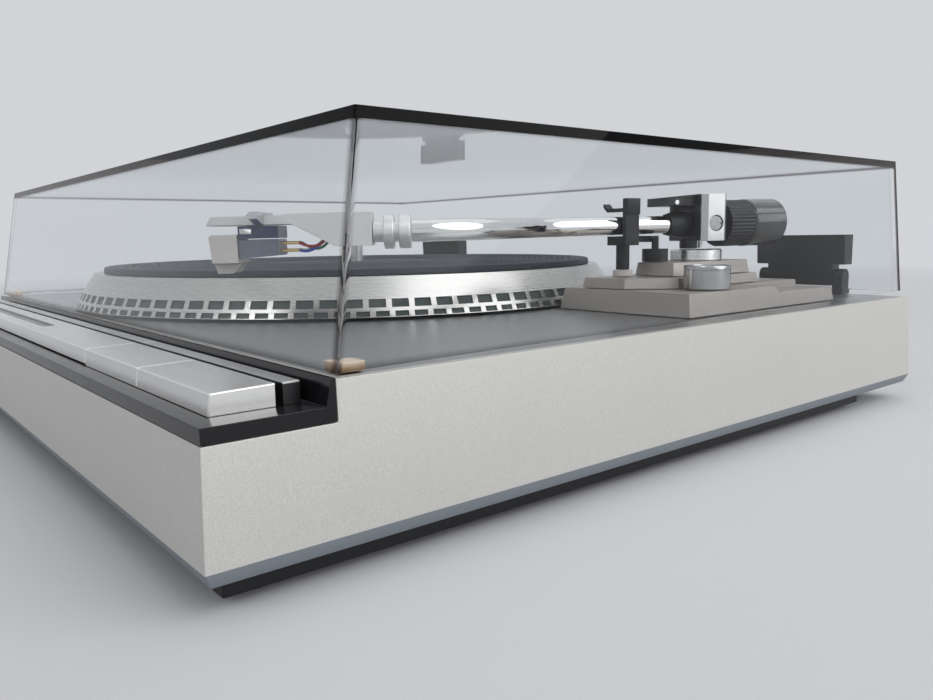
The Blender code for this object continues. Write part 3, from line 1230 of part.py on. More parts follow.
def build_arm_base(parts, cutters, looks):
    """Three stepped castings, each with leaning sides and a bore for the arm's shaft."""
    plate_low = DECK_HEIGHT + SEAT_GAP
    outline = [
        (PLATE_FRONT_LEFT_X, PLATE_FRONT_Y), (PLATE_RIGHT_X, PLATE_FRONT_Y), (PLATE_RIGHT_X, PLATE_REAR_Y),
        (PLATE_LEFT_X, PLATE_REAR_Y), (PLATE_LEFT_X, PLATE_CORNER_Y),
    ]
    plate = add_object(
        parts, "arm_base_plate", tapered_prism("arm_base_plate", outline, plate_low, PLATE_TOP, PLATE_DRAFT),
        looks["casting"],
    )
    notch_outline = [
        (PLATE_NOTCH_Y, PLATE_TOP + OVERRUN), (PLATE_NOTCH_Y, PLATE_TOP),
        (PLATE_NOTCH_Y + PLATE_NOTCH_RUN, PLATE_NOTCH_TOP), (PLATE_REAR_Y + OVERRUN, PLATE_NOTCH_TOP),
        (PLATE_REAR_Y + OVERRUN, PLATE_TOP + OVERRUN),
    ]
    notch = prism_mesh("plate_notch", notch_outline, STEP_RIGHT_X + OVERRUN, PLATE_RIGHT_X + OVERRUN, "X")
    boolean(plate, add_cutter(cutters, "plate_notch", notch))

    outline = [
        (STEP_LEFT_X, STEP_FRONT_Y), (STEP_CORNER_X, STEP_FRONT_Y), (STEP_RIGHT_X, STEP_DIAGONAL_END_Y),
        (STEP_RIGHT_X, STEP_REAR_Y), (STEP_LEFT_X, STEP_REAR_Y),
    ]
    step = add_object(
        parts, "arm_base_step",
        tapered_prism("arm_base_step", outline, PLATE_TOP + SEAT_GAP, STEP_TOP, STEP_DRAFT), looks["casting"],
    )
    outline = [
        (RISER_FRONT_LEFT_X, RISER_FRONT_Y), (RISER_FRONT_RIGHT_X, RISER_FRONT_Y),
        (RISER_FRONT_RIGHT_X + RISER_FLARE, RISER_FLARE_Y), (RISER_FRONT_RIGHT_X + RISER_FLARE, RISER_REAR_Y),
        (RISER_FRONT_LEFT_X - RISER_FLARE, RISER_REAR_Y), (RISER_FRONT_LEFT_X - RISER_FLARE, RISER_FLARE_Y),
    ]
    riser = add_object(
        parts, "arm_riser", tapered_prism("arm_riser", outline, STEP_TOP + SEAT_GAP, RISER_TOP, RISER_DRAFT),
        looks["casting"],
    )
    bore = cylinders_mesh("shaft_bore", [
        ((PIVOT_X, PIVOT_Y), SHAFT_RADIUS + SHAFT_CLEARANCE, DECK_HEIGHT - OVERRUN, RISER_TOP + OVERRUN),
    ])
    cutter = add_cutter(cutters, "shaft_bore", bore)
    for block in (plate, step, riser):
        boolean(block, cutter)
    profile = [
        (0, PLATE_TOP + SEAT_GAP + KNOB_HEIGHT), (
            KNOB_RADIUS - KNOB_BEVEL, PLATE_TOP + SEAT_GAP + KNOB_HEIGHT
        ),
        (KNOB_RADIUS, PLATE_TOP + SEAT_GAP + KNOB_HEIGHT - KNOB_BEVEL),
        (KNOB_RADIUS, PLATE_TOP + SEAT_GAP), (0, PLATE_TOP + SEAT_GAP),
    ]
    add_turned(parts, "anti_skate_knob", profile, looks["chrome"], None, (KNOB_X, KNOB_Y, 0))


def arm_frames(parts):
    """Empties that carry the arm: on the pivot, turned to the gimbal, tilted to the tube, and at the stylus."""
    swing = add_object(parts, "arm_swing_axis", None, None, None, (PIVOT_X, PIVOT_Y, ARM_AXIS_HEIGHT),
                       (0, 0, math.radians(-90 - ARM_REST_DEG)))
    gimbal = add_object(
        parts, "gimbal_axis", None, None, swing, (0, 0, 0), (0, 0, math.radians(-GIMBAL_TURN_DEG))
    )
    tube = add_object(
        parts, "arm_tilt_axis", None, None, swing, (0, 0, 0), (0, math.radians(ARM_TILT_DEG), 0)
    )
    shell = add_object(parts, "headshell_axis", None, None, tube, (ARM_LENGTH, 0, 0),
                       (0, 0, math.radians(-HEADSHELL_OFFSET_DEG)))
    return swing, gimbal, tube, shell


def build_gimbal(parts, cutters, looks, swing, gimbal):
    """The turning disc on the riser, and the yoke on its neck with the side plate and pivot screws."""
    disc_low, disc_high = RISER_TOP + SEAT_GAP - ARM_AXIS_HEIGHT, DISC_TOP - ARM_AXIS_HEIGHT
    shaft_low = SHAFT_BOTTOM - ARM_AXIS_HEIGHT
    profile = [
        (0, disc_high), (DISC_RADIUS - DISC_BEVEL, disc_high), (DISC_RADIUS, disc_high - DISC_BEVEL),
        (DISC_RADIUS, disc_low), (SHAFT_RADIUS, disc_low), (SHAFT_RADIUS, shaft_low), (0, shaft_low),
    ]
    add_turned(parts, "swing_disc", profile, looks["casting"], swing)

    half = YOKE_HALF_WIDTH
    yoke = add_object(
        parts, "gimbal_yoke",
        box_mesh("gimbal_yoke", (YOKE_REAR, -half, YOKE_BOTTOM), (YOKE_FRONT, half, YOKE_TOP)), looks[
            "black"
        ],
        gimbal,
    )
    window = box_mesh(
        "yoke_window", (YOKE_REAR - OVERRUN, -half + YOKE_LEG, YOKE_BOTTOM + YOKE_FLOOR),
        (YOKE_FRONT + OVERRUN, half - YOKE_LEG, YOKE_TOP - YOKE_ROOF),
    )
    boolean(yoke, add_cutter(cutters, "yoke_window", window, gimbal))
    roof_outline = [
        (YOKE_REAR / 2, YOKE_TOP - YOKE_ROOF), (YOKE_REAR / 2, YOKE_TOP - SEAT_GAP), (
            YOKE_FRONT, YOKE_TOP - SEAT_GAP
        ),
        (ROOF_FRONT, YOKE_TOP - ROOF_SLOPE), (ROOF_FRONT, YOKE_TOP - YOKE_ROOF),
    ]
    roof = prism_mesh(
        "yoke_roof", roof_outline, -ROOF_HALF_WIDTH, ROOF_HALF_WIDTH, "Y"
    )
    boolean(yoke, add_cutter(cutters, "yoke_roof", roof, gimbal), "UNION")
    neck_low = disc_high + SEAT_GAP
    neck = cylinders_mesh("neck", [((NECK_OFFSET, 0), NECK_RADIUS, neck_low, YOKE_BOTTOM + YOKE_FLOOR / 2)])
    boolean(yoke, add_cutter(cutters, "neck", neck, gimbal), "UNION")
    pin = cylinders_mesh(
        "lock_pin", [((PIN_OFFSET, 0), PIN_RADIUS, neck_low, YOKE_BOTTOM - SEAT_GAP)], steps=TINY_STEPS
    )
    add_object(parts, "lock_pin", pin, looks["steel"], gimbal)

    plate_low = half + SEAT_GAP
    plate_high = plate_low + SIDE_PLATE_THICKNESS
    middle = (YOKE_FRONT + YOKE_REAR) / 2
    wide = SIDE_PLATE_WIDTH / 2
    outline = [
        (middle - wide, plate_low), (middle + wide, plate_low),
        (middle + wide, plate_high - SIDE_PLATE_BEVEL), (middle + wide - SIDE_PLATE_BEVEL, plate_high),
        (middle - wide + SIDE_PLATE_BEVEL, plate_high), (middle - wide, plate_high - SIDE_PLATE_BEVEL),
    ]
    plate = add_object(
        parts, "gimbal_side_plate", prism_mesh("gimbal_side_plate", outline, YOKE_BOTTOM, YOKE_TOP, "Z"),
        looks["aluminium"], gimbal,
    )
    recess = cylinders_mesh("screw_recess", [
        ((middle, 0), SCREW_RADIUS + SEAT_GAP, plate_high - SCREW_RECESS, plate_high + OVERRUN),
    ], axis="Y")
    boolean(plate, add_cutter(cutters, "screw_recess", recess, gimbal))
    head_low = plate_high - SCREW_RECESS + SEAT_GAP
    screw = add_object(
        parts, "pivot_screw",
        cylinders_mesh(
            "pivot_screw", [((middle, 0), SCREW_RADIUS, head_low, plate_high - SCREW_SINK)], axis="Y"
        ),
        looks["steel"], gimbal,
    )
    slot = box_mesh(
        "screw_slot", (
            middle - SCREW_RADIUS * 2, plate_high - SCREW_SINK - SCREW_SLOT_DEPTH, -SCREW_SLOT_WIDTH / 2
        ),
        (middle + SCREW_RADIUS * 2, plate_high + OVERRUN, SCREW_SLOT_WIDTH / 2),
    )
    boolean(screw, add_cutter(cutters, "screw_slot", slot, gimbal))


def tube_corners():
    """Corners of the S: straight from the pivot, out to the bulge, then back in line with the headshell."""
    offset = math.radians(HEADSHELL_OFFSET_DEG)
    back = Vector((-math.cos(offset), math.sin(offset)))
    stylus = Vector((ARM_LENGTH, 0))
    bulge_run = (stylus.x - BULGE_FORWARD) / math.cos(offset)
    bulge = stylus + back * bulge_run
    collar = stylus + back * TUBE_TO_COLLAR
    return [(YOKE_FRONT, 0), (FIRST_BEND_FORWARD, 0), tuple(bulge), tuple(collar)]


def build_tube(parts, cutters, looks, gimbal, tube):
    """The bearing core with its bells, the S shaped tube and the rear shaft."""
    half = YOKE_HALF_WIDTH - YOKE_LEG - CORE_SIDE_GAP
    block = box_mesh(
        "core_block", (-CORE_HALF_LENGTH, -half, CORE_BOTTOM), (CORE_HALF_LENGTH, half, CORE_TOP)
    )
    core = add_object(parts, "bearing_core", block, looks["black"], gimbal)
    along = (0, math.radians(90), 0)
    bore = TUBE_RADIUS + SEAT_GAP
    start = CORE_HALF_LENGTH / 2
    bell_profile = [
        (0, BELL_FRONT), (BELL_FRONT_RADIUS, BELL_FRONT), (BELL_REAR_RADIUS, BELL_SHOULDER),
        (BELL_REAR_RADIUS, BELL_START), (CORE_NECK_RADIUS, BELL_START), (CORE_NECK_RADIUS, start), (0, start),
    ]
    bell = add_object(
        cutters, "front_bell", turned_mesh("front_bell", bell_profile, False), None, tube, (0, 0, 0), along
    )
    turn_profile(bell, SMALL_STEPS)
    rear_profile = [
        (0, -start), (CORE_NECK_RADIUS, -start), (CORE_NECK_RADIUS, -REAR_BELL_START),
        (BELL_REAR_RADIUS, -REAR_BELL_START), (REAR_BELL_RADIUS, -REAR_BELL_REACH + OVERRUN),
        (REAR_BELL_RADIUS, -REAR_BELL_REACH), (REAR_SHAFT_RADIUS, -REAR_BELL_REACH),
        (REAR_SHAFT_RADIUS, -WEIGHT_REACH + OVERRUN), (0, -WEIGHT_REACH + OVERRUN),
    ]
    rear = add_object(
        cutters, "rear_bell", turned_mesh("rear_bell", rear_profile, False), None, tube, (0, 0, 0), along
    )
    turn_profile(rear, SMALL_STEPS)
    for piece in (bell, rear):
        piece.hide_render = True
        piece.display_type = "WIRE"
        boolean(core, piece, "UNION")
    hole = cylinders_mesh("tube_hole", [((0, 0), bore, YOKE_FRONT, BELL_FRONT + OVERRUN)], axis="X")
    boolean(core, add_cutter(cutters, "tube_hole", hole, tube))

    corners = tube_corners()
    corners[0] = (YOKE_FRONT + SEAT_GAP, 0)
    spots = rounded_line(corners, TUBE_BEND_RADIUS, BEND_STEPS)
    add_object(
        parts, "arm_tube", tube_mesh("arm_tube", spots, TUBE_RADIUS, TUBE_RESOLUTION), looks["chrome"], tube
    )


def build_rear_end(parts, cutters, looks, tube):
    """Knurled force dial and counterweight on the rear shaft."""
    along = (0, math.radians(90), 0)
    bore = REAR_SHAFT_RADIUS + REAR_SHAFT_CLEARANCE
    front, rear = -REAR_BELL_REACH - SEAT_GAP, -DIAL_REACH
    bm = bmesh.new()
    verts = bmesh.ops.create_circle(bm, cap_ends=True, segments=2 * DIAL_KNURLS, radius=DIAL_RADIUS)["verts"]
    for vert in verts[::2]:
        vert.co *= 1 - DIAL_KNURL_DEPTH / DIAL_RADIUS
    grown = bmesh.ops.extrude_face_region(bm, geom=list(bm.faces))
    moved = [item for item in grown["geom"] if isinstance(item, bmesh.types.BMVert)]
    bmesh.ops.translate(bm, verts=moved, vec=(0, 0, front - rear))
    bmesh.ops.translate(bm, verts=bm.verts, vec=(0, 0, rear))
    dial = add_object(
        parts, "force_dial", finish_mesh(bm, "force_dial"), looks["black"], tube, (0, 0, 0), along
    )
    hole = cylinders_mesh("dial_bore", [((0, 0), bore, rear - OVERRUN, front + OVERRUN)])
    boolean(dial, add_cutter(cutters, "dial_bore", hole, tube, (0, 0, 0), along))
    front, rear = -DIAL_REACH - SEAT_GAP, -WEIGHT_REACH
    profile = [
        (bore, front), (WEIGHT_RADIUS - WEIGHT_BEVEL / 2, front), (WEIGHT_RADIUS, front - WEIGHT_BEVEL / 2),
        (WEIGHT_RADIUS, rear + WEIGHT_BEVEL), (WEIGHT_RADIUS - WEIGHT_BEVEL, rear), (bore, rear),
    ]
    add_turned(
        parts, "counterweight", profile, looks["gloss"], tube, (0, 0, 0), along, closed=True, steps=WEIGHT_STEPS
    )


def build_connector(parts, cutters, looks, shell):
    """The two rings that join the headshell to the tube; the front one turns to lock it."""
    along = (0, math.radians(90), 0)
    neck_front = SHELL_REAR - SEAT_GAP
    profile = [
        (0, neck_front), (CONNECTOR_RADIUS, neck_front), (CONNECTOR_RADIUS, SOCKET_FRONT),
        (COLLAR_RADIUS - COLLAR_BEVEL, SOCKET_FRONT), (COLLAR_RADIUS, SOCKET_FRONT - COLLAR_BEVEL),
        (COLLAR_RADIUS, SOCKET_REAR + COLLAR_BEVEL), (COLLAR_RADIUS - COLLAR_BEVEL, SOCKET_REAR), (
            0, SOCKET_REAR
        ),
    ]
    add_turned(parts, "tube_socket", profile, looks["aluminium"], shell, (0, 0, 0), along, steps=COLLAR_STEPS)
    bore = CONNECTOR_RADIUS + SEAT_GAP
    profile = [
        (bore, COLLAR_FRONT), (COLLAR_RADIUS - COLLAR_BEVEL, COLLAR_FRONT),
        (COLLAR_RADIUS, COLLAR_FRONT - COLLAR_BEVEL), (COLLAR_RADIUS, COLLAR_REAR + COLLAR_BEVEL),
        (COLLAR_RADIUS - COLLAR_BEVEL, COLLAR_REAR), (bore, COLLAR_REAR),
    ]
    add_turned(
        parts, "locking_collar", profile, looks["aluminium"], shell, (0, 0, 0), along, closed=True,
        steps=COLLAR_STEPS,
    )


def build_headshell(parts, cutters, looks, shell):
    """A flat plate with two screw slots, growing into a hollow shank; its plan narrows to both ends."""
    outline = [
        (SHELL_TIP, SHELL_PLATE_BOTTOM), (SHELL_TIP - SHELL_TIP_SLANT, SHELL_PLATE_TOP),
        (SHELL_RISE_FRONT, SHELL_PLATE_TOP), (SHELL_RISE_REAR, SHELL_REAR_TOP), (SHELL_REAR, SHELL_REAR_TOP),
        (SHELL_REAR, SHELL_SHANK_BOTTOM), (SHELL_DIAGONAL_REAR, SHELL_SHANK_BOTTOM),
        (SHELL_DIAGONAL_FRONT, SHELL_PLATE_BOTTOM),
    ]
    body = add_object(
        parts, "headshell", prism_mesh("headshell", outline, -SHELL_HALF_WIDTH, SHELL_HALF_WIDTH, "Y"),
        looks["aluminium"], shell,
    )
    plan = []
    for side in (1, -1):
        half = [
            (SHELL_TIP + OVERRUN, side * SHELL_TIP_HALF_WIDTH), (0, side * SHELL_HALF_WIDTH),
            (SHELL_RISE_FRONT, side * SHELL_HALF_WIDTH), (SHELL_DIAGONAL_REAR, side * SHELL_SHANK_HALF_WIDTH),
            (SHELL_REAR - OVERRUN, side * SHELL_SHANK_HALF_WIDTH),
        ]
        plan += half if side == 1 else half[::-1]
    mask = prism_mesh("headshell_plan", plan, SHELL_SHANK_BOTTOM - OVERRUN, SHELL_REAR_TOP + OVERRUN, "Z")
    boolean(body, add_cutter(cutters, "headshell_plan", mask, shell), "INTERSECT")
    channel_half = SHELL_SHANK_HALF_WIDTH - SHELL_CHANNEL_WALL
    channel = box_mesh(
        "lead_channel", (SHELL_DIAGONAL_REAR, -channel_half, SHELL_SHANK_BOTTOM - OVERRUN),
        (SHELL_DIAGONAL_FRONT + OVERRUN, channel_half, SHELL_PLATE_BOTTOM + (SHELL_REAR_TOP - SHELL_PLATE_TOP)),
    )
    boolean(body, add_cutter(cutters, "lead_channel", channel, shell))
    slot_front = (MOUNT_FRONT + MOUNT_REAR) / 2 + SHELL_SLOT_LENGTH / 2
    slots = boxes_mesh("screw_slots", [
        (
            (slot_front - SHELL_SLOT_LENGTH, side * SHELL_SLOT_SPACING / 2 - SHELL_SLOT_WIDTH / 2, 0),
            (slot_front, side * SHELL_SLOT_SPACING / 2 + SHELL_SLOT_WIDTH / 2, SHELL_PLATE_TOP + OVERRUN),
        )
        for side in (-1, 1)
    ])
    boolean(body, add_cutter(cutters, "screw_slots", slots, shell))
    root = SHELL_HALF_WIDTH + SEAT_GAP
    seat = SHELL_PLATE_TOP + SEAT_GAP
    strap_top = seat + LIFT_STRAP
    outline = [
        (root, SHELL_PLATE_BOTTOM), (root, seat), (-SHELL_TIP_HALF_WIDTH, seat),
        (-SHELL_TIP_HALF_WIDTH, strap_top), (root + LIFT_TAB_REACH, strap_top),
        (root + LIFT_TAB_REACH, strap_top - LIFT_TAB_THICKNESS), (
            root + SHELL_CHANNEL_WALL, SHELL_PLATE_BOTTOM
        ),
    ]
    tab = prism_mesh("finger_lift", outline, LIFT_TAB_REAR, LIFT_TAB_FRONT, "X")
    add_object(parts, "finger_lift", tab, looks["steel"], shell)


def build_cartridge(parts, cutters, looks, shell):
    """Mounting block, body, front with the stylus and its guard, terminals and mounting screws."""
    mount_top = SHELL_PLATE_BOTTOM - SEAT_GAP
    block = box_mesh(
        "cartridge_mount", (MOUNT_REAR, -MOUNT_HALF_WIDTH, MOUNT_BOTTOM), (
            MOUNT_FRONT, MOUNT_HALF_WIDTH, mount_top
        )
    )
    mount = add_object(parts, "cartridge_mount", block, looks["slate"], shell)
    screw_x = (MOUNT_FRONT + MOUNT_REAR) / 2 + SHELL_SLOT_LENGTH / 4
    screws = cylinders_mesh("mounting_screws", [
        (
            (screw_x, side * SHELL_SLOT_SPACING / 2), MOUNT_SCREW_RADIUS, mount_top - SEAT_GAP,
            SHELL_PLATE_TOP + MOUNT_SCREW_RISE,
        )
        for side in (-1, 1)
    ], steps=TINY_STEPS)
    boolean(mount, add_cutter(cutters, "mounting_screws", screws, shell), "UNION")
    outline = [
        (BODY_FRONT, BODY_FRONT_BOTTOM), (BODY_FRONT, BODY_TOP), (BODY_REAR, BODY_TOP), (
            BODY_REAR, BODY_REAR_BOTTOM
        ),
    ]
    block = prism_mesh("cartridge_body", outline, -BODY_HALF_WIDTH, BODY_HALF_WIDTH, "Y")
    body = add_object(parts, "cartridge_body", block, looks["slate"], shell)
    terminals = cylinders_mesh("cartridge_terminals", [
        (
            (side * TERMINAL_HALF_SPACING, height), TERMINAL_RADIUS, BODY_REAR - TERMINAL_REACH,
            BODY_REAR + TERMINAL_RADIUS,
        )
        for side in (-1, 1) for height in TERMINAL_HEIGHTS
    ], steps=8, axis="X")
    boolean(body, add_cutter(cutters, "cartridge_terminals", terminals, shell), "UNION")
    nose_rear = BODY_FRONT + SEAT_GAP
    outline = [
        (nose_rear, NOSE_BOTTOM), (nose_rear, NOSE_TOP), (NOSE_FRONT - NOSE_CHAMFER, NOSE_TOP),
        (NOSE_FRONT, NOSE_TOP - NOSE_CHAMFER), (NOSE_FRONT - NOSE_CHAMFER, NOSE_BOTTOM),
    ]
    nose = prism_mesh("stylus_holder", outline, -NOSE_HALF_WIDTH, NOSE_HALF_WIDTH, "Y")
    add_object(parts, "stylus_holder", nose, looks["pale"], shell)
    guard_top = NOSE_BOTTOM - SEAT_GAP
    outline = [
        (GUARD_REAR, guard_top), (GUARD_FRONT, guard_top), (GUARD_FOOT_FRONT, GUARD_BOTTOM),
        (GUARD_FOOT_REAR, GUARD_BOTTOM),
    ]
    guard = add_object(
        parts, "stylus_guard", prism_mesh("stylus_guard", outline, -GUARD_HALF_WIDTH, GUARD_HALF_WIDTH, "Y"),
        looks["pale"], shell,
    )
    hollow_half = GUARD_HALF_WIDTH - GUARD_WALL
    hollow = box_mesh(
        "guard_hollow", (GUARD_REAR - OVERRUN, -hollow_half, GUARD_BOTTOM - OVERRUN),
        (GUARD_FOOT_FRONT - GUARD_WALL, hollow_half, guard_top + OVERRUN),
    )
    boolean(guard, add_cutter(cutters, "guard_hollow", hollow, shell))
    root = (STYLUS_ROOT, 0, guard_top - STYLUS_RADIUS)
    stylus = tube_mesh(
        "stylus", [root, (0, 0, STYLUS_TIP), (0, 0, STYLUS_TIP - STYLUS_RADIUS)], STYLUS_RADIUS, 1
    )
    add_object(parts, "stylus", stylus, looks["steel"], shell)


def build_leads(parts, cutters, looks, shell):
    """Four thin leads from the cartridge's terminals to the connector block in the hollow of the shank."""
    start = BODY_REAR - SEAT_GAP - TERMINAL_REACH
    block_rear = SHELL_DIAGONAL_REAR + SEAT_GAP
    block_half = TERMINAL_HALF_SPACING + TERMINAL_RADIUS * 2
    block = box_mesh(
        "lead_wires", (block_rear, -block_half, LEAD_END_HEIGHT - block_half / 2),
        (block_rear + LEAD_BLOCK_DEPTH, block_half, LEAD_END_HEIGHT + block_half / 2),
    )
    leads = add_object(parts, "lead_wires", block, looks["lead"], shell)
    end = block_rear + LEAD_BLOCK_DEPTH / 2
    for number, (side, height) in enumerate(
        (side, height) for side in (-1, 1) for height in TERMINAL_HEIGHTS
    ):
        low = height == TERMINAL_HEIGHTS[1]
        end_y = side * TERMINAL_HALF_SPACING * (LEAD_INNER_SHARE if low else 1)
        sag = LEAD_SAG * (LEAD_LOW_SAG_SHARE if low else 1)
        points = []
        for count in range(LEAD_STEPS + 1):
            share = count / LEAD_STEPS
            x = start + (end - start) * share
            y = side * TERMINAL_HALF_SPACING + (end_y - side * TERMINAL_HALF_SPACING) * share
            rise = (LEAD_END_HEIGHT - height) * share * share * (3 - 2 * share)
            points.append((x, y, height + rise - sag * math.sin(math.pi * share)))
        lead = tube_mesh(f"lead_{number}", points, LEAD_RADIUS, 1)
        boolean(leads, add_cutter(cutters, f"lead_{number}", lead, shell), "UNION")


def build_arm_rest(parts, cutters, looks, swing):
    """Disc, post and cradle under the tube, an upright beside it, and the latch over it."""
    disc_low = STEP_TOP + SEAT_GAP - ARM_AXIS_HEIGHT
    disc_high = REST_DISC_TOP - ARM_AXIS_HEIGHT
    cup_low = REST_CUP_BOTTOM - ARM_AXIS_HEIGHT
    upright_top = REST_UPRIGHT_TOP - ARM_AXIS_HEIGHT
    inner_top = REST_INNER_TOP - ARM_AXIS_HEIGHT
    room = TUBE_RADIUS + REST_TUBE_CLEARANCE
    place = (REST_FORWARD, 0, 0)
    profile = [
        (0, disc_high), (REST_DISC_RADIUS, disc_high), (REST_DISC_RADIUS, disc_low), (0, disc_low),
    ]
    add_turned(parts, "arm_rest_disc", profile, looks["pale"], swing, place, steps=SMALL_STEPS)
    outer = room + REST_CUP_WALL
    cup = add_object(
        parts, "arm_rest",
        box_mesh(
            "arm_rest", (-REST_CUP_HALF_LENGTH, -outer, cup_low), (REST_CUP_HALF_LENGTH, outer, upright_top)
        ),
        looks["black"], swing, place,
    )
    tube_drop = math.sin(math.radians(ARM_TILT_DEG)) * REST_FORWARD
    trough = box_mesh("rest_trough", (-outer, -room, -tube_drop - room), (outer, room, upright_top + OVERRUN))
    boolean(cup, add_cutter(cutters, "rest_trough", trough, swing, place))
    opening = box_mesh(
        "rest_entry", (-outer, -outer - OVERRUN, inner_top), (
            outer, -room * REST_ENTRY_SHARE, upright_top + OVERRUN
        )
    )
    boolean(cup, add_cutter(cutters, "rest_entry", opening, swing, place))
    post = cylinders_mesh(
        "rest_post", [((0, 0), REST_POST_RADIUS, disc_high + SEAT_GAP, cup_low + REST_CUP_WALL / 2)]
    )
    boolean(cup, add_cutter(cutters, "rest_post", post, swing, place), "UNION")

    latch_low = room - tube_drop + LATCH_RISE
    latch_high = latch_low + LATCH_THICKNESS
    axis_z = (latch_low + latch_high) / 2
    slot_half = LATCH_HALF_LENGTH + SEAT_GAP
    slot = box_mesh(
        "latch_slot", (-slot_half, room - OVERRUN, axis_z - LATCH_BARREL_RADIUS - SEAT_GAP),
        (slot_half, outer + OVERRUN, upright_top + OVERRUN),
    )
    boolean(cup, add_cutter(cutters, "latch_slot", slot, swing, place))
    inside = REST_CUP_HALF_LENGTH - SEAT_GAP
    pin = cylinders_mesh(
        "latch_pin", [((LATCH_PIN_OUT, axis_z), LATCH_PIN_RADIUS, -inside, inside)], TINY_STEPS, "X"
    )
    boolean(cup, add_cutter(cutters, "latch_pin", pin, swing, place), "UNION")

    end = -room - LATCH_OVERHANG
    outline = [
        (LATCH_PIN_OUT, latch_low), (LATCH_PIN_OUT, latch_high), (end, latch_high),
        (end - LATCH_LIP, latch_high + LATCH_LIP_RISE), (
            end - LATCH_LIP, latch_high + LATCH_LIP_RISE - LATCH_THICKNESS
        ),
        (end, latch_low),
    ]
    bar = prism_mesh("arm_rest_latch", outline, -LATCH_HALF_LENGTH, LATCH_HALF_LENGTH, "X")
    latch = add_object(parts, "arm_rest_latch", bar, looks["black"], swing, place)
    ends = (-LATCH_HALF_LENGTH + SEAT_GAP, LATCH_HALF_LENGTH - SEAT_GAP)
    barrel = cylinders_mesh("latch_barrel", [((LATCH_PIN_OUT, axis_z), LATCH_BARREL_RADIUS, *ends)], axis="X")
    boolean(latch, add_cutter(cutters, "latch_barrel", barrel, swing, place), "UNION")
    bore = cylinders_mesh(
        "latch_bore", [((LATCH_PIN_OUT, axis_z), LATCH_PIN_RADIUS + SEAT_GAP, -outer, outer)], TINY_STEPS, "X"
    )
    boolean(latch, add_cutter(cutters, "latch_bore", bore, swing, place))


def lifter_spot(turn_deg, radius):
    """A place round the pivot, at an angle from the arm's straight forward line (toward the front)."""
    turn = math.radians(turn_deg)
    return (PIVOT_X - radius * math.sin(turn), PIVOT_Y - radius * math.cos(turn))


def build_lifter(parts, cutters, looks):
    """The lifter's body on the riser, and the curved bar on its pin under the tube."""
    spot = lifter_spot(LIFTER_TURN_DEG, LIFTER_RADIUS)
    body_low = RISER_TOP + SEAT_GAP
    bore = LIFTER_PIN_RADIUS + SEAT_GAP
    profile = [
        (bore, LIFTER_BODY_TOP), (LIFTER_BODY_RADIUS, LIFTER_BODY_TOP), (LIFTER_BODY_RADIUS, body_low), (
            bore, body_low
        ),
    ]
    add_turned(
        parts, "lifter_body", profile, looks["black"], None, (*spot, 0), closed=True, steps=SMALL_STEPS
    )
    turns = [LIFTER_TURN_DEG + LIFTER_SWEEP_DEG * count / LIFTER_STEPS for count in range(LIFTER_STEPS + 1)]
    outer = [lifter_spot(turn, LIFTER_RADIUS + LIFTER_BAR_HALF_WIDTH) for turn in turns]
    inner = [lifter_spot(turn, LIFTER_RADIUS - LIFTER_BAR_HALF_WIDTH) for turn in turns]
    bar = add_object(
        parts, "lifter_bar",
        prism_mesh("lifter_bar", outer + inner[::-1], LIFTER_BAR_BOTTOM, LIFTER_BAR_TOP, "Z"), looks["black"],
    )
    pin = cylinders_mesh(
        "lifter_pin", [(spot, LIFTER_PIN_RADIUS, RISER_TOP + OVERRUN, LIFTER_BAR_TOP - OVERRUN / 2)]
    )
    boolean(bar, add_cutter(cutters, "lifter_pin", pin), "UNION")


def lid_mesh():
    """The lid's outer skin: a leaning box, open below, which Solidify gives its thickness."""
    bm = bmesh.new()
    verts = add_box(bm, (-1, -1, 0), (1, 1, 1))
    for vert in verts:
        top, front = vert.co.z > 0, vert.co.y < 0
        vert.co.x *= LID_TOP_HALF_WIDTH if top else LID_HALF_WIDTH
        if top:
            vert.co.y, vert.co.z = (LID_TOP_FRONT_Y if front else LID_TOP_REAR_Y), LID_TOP
        else:
            vert.co.y = LID_FRONT_Y if front else LID_REAR_Y
            vert.co.z = LID_FRONT_BOTTOM if front else LID_REAR_BOTTOM
    bmesh.ops.recalc_face_normals(bm, faces=bm.faces)
    floor = min(bm.faces, key=lambda face: face.calc_center_median().z)
    bmesh.ops.delete(bm, geom=[floor], context="FACES_ONLY")
    mesh = bpy.data.meshes.new("dust_cover")
    bm.to_mesh(mesh)
    bm.free()
    return mesh


def build_lid(parts, cutters, looks):
    lid = add_object(parts, "dust_cover", lid_mesh(), looks["clear"])
    step = lid.modifiers.new("wall", "SOLIDIFY")
    step.thickness = LID_THICKNESS
    step.offset = -1
    step.use_even_offset = True
    step.use_quality_normals = True
    for name, side in (("corner_bumper_left", -1), ("corner_bumper_right", 1)):
        build_bumper(parts, cutters, looks, name, side)


def build_bumper(parts, cutters, looks, name, side):
    """A pad in one front corner of the lid, which rests on the deck."""
    outer_x = LID_HALF_WIDTH - LID_THICKNESS - SEAT_GAP * 3
    outer_y = LID_FRONT_Y + LID_THICKNESS + SEAT_GAP * 4
    ends = sorted((side * outer_x, side * (outer_x - BUMPER_WIDTH)))
    low = (ends[0], outer_y, DECK_HEIGHT + SEAT_GAP)
    high = (ends[1], outer_y + BUMPER_WIDTH, LID_FRONT_BOTTOM + BUMPER_RISE)
    add_object(parts, name, box_mesh(name, low, high), looks["amber"])


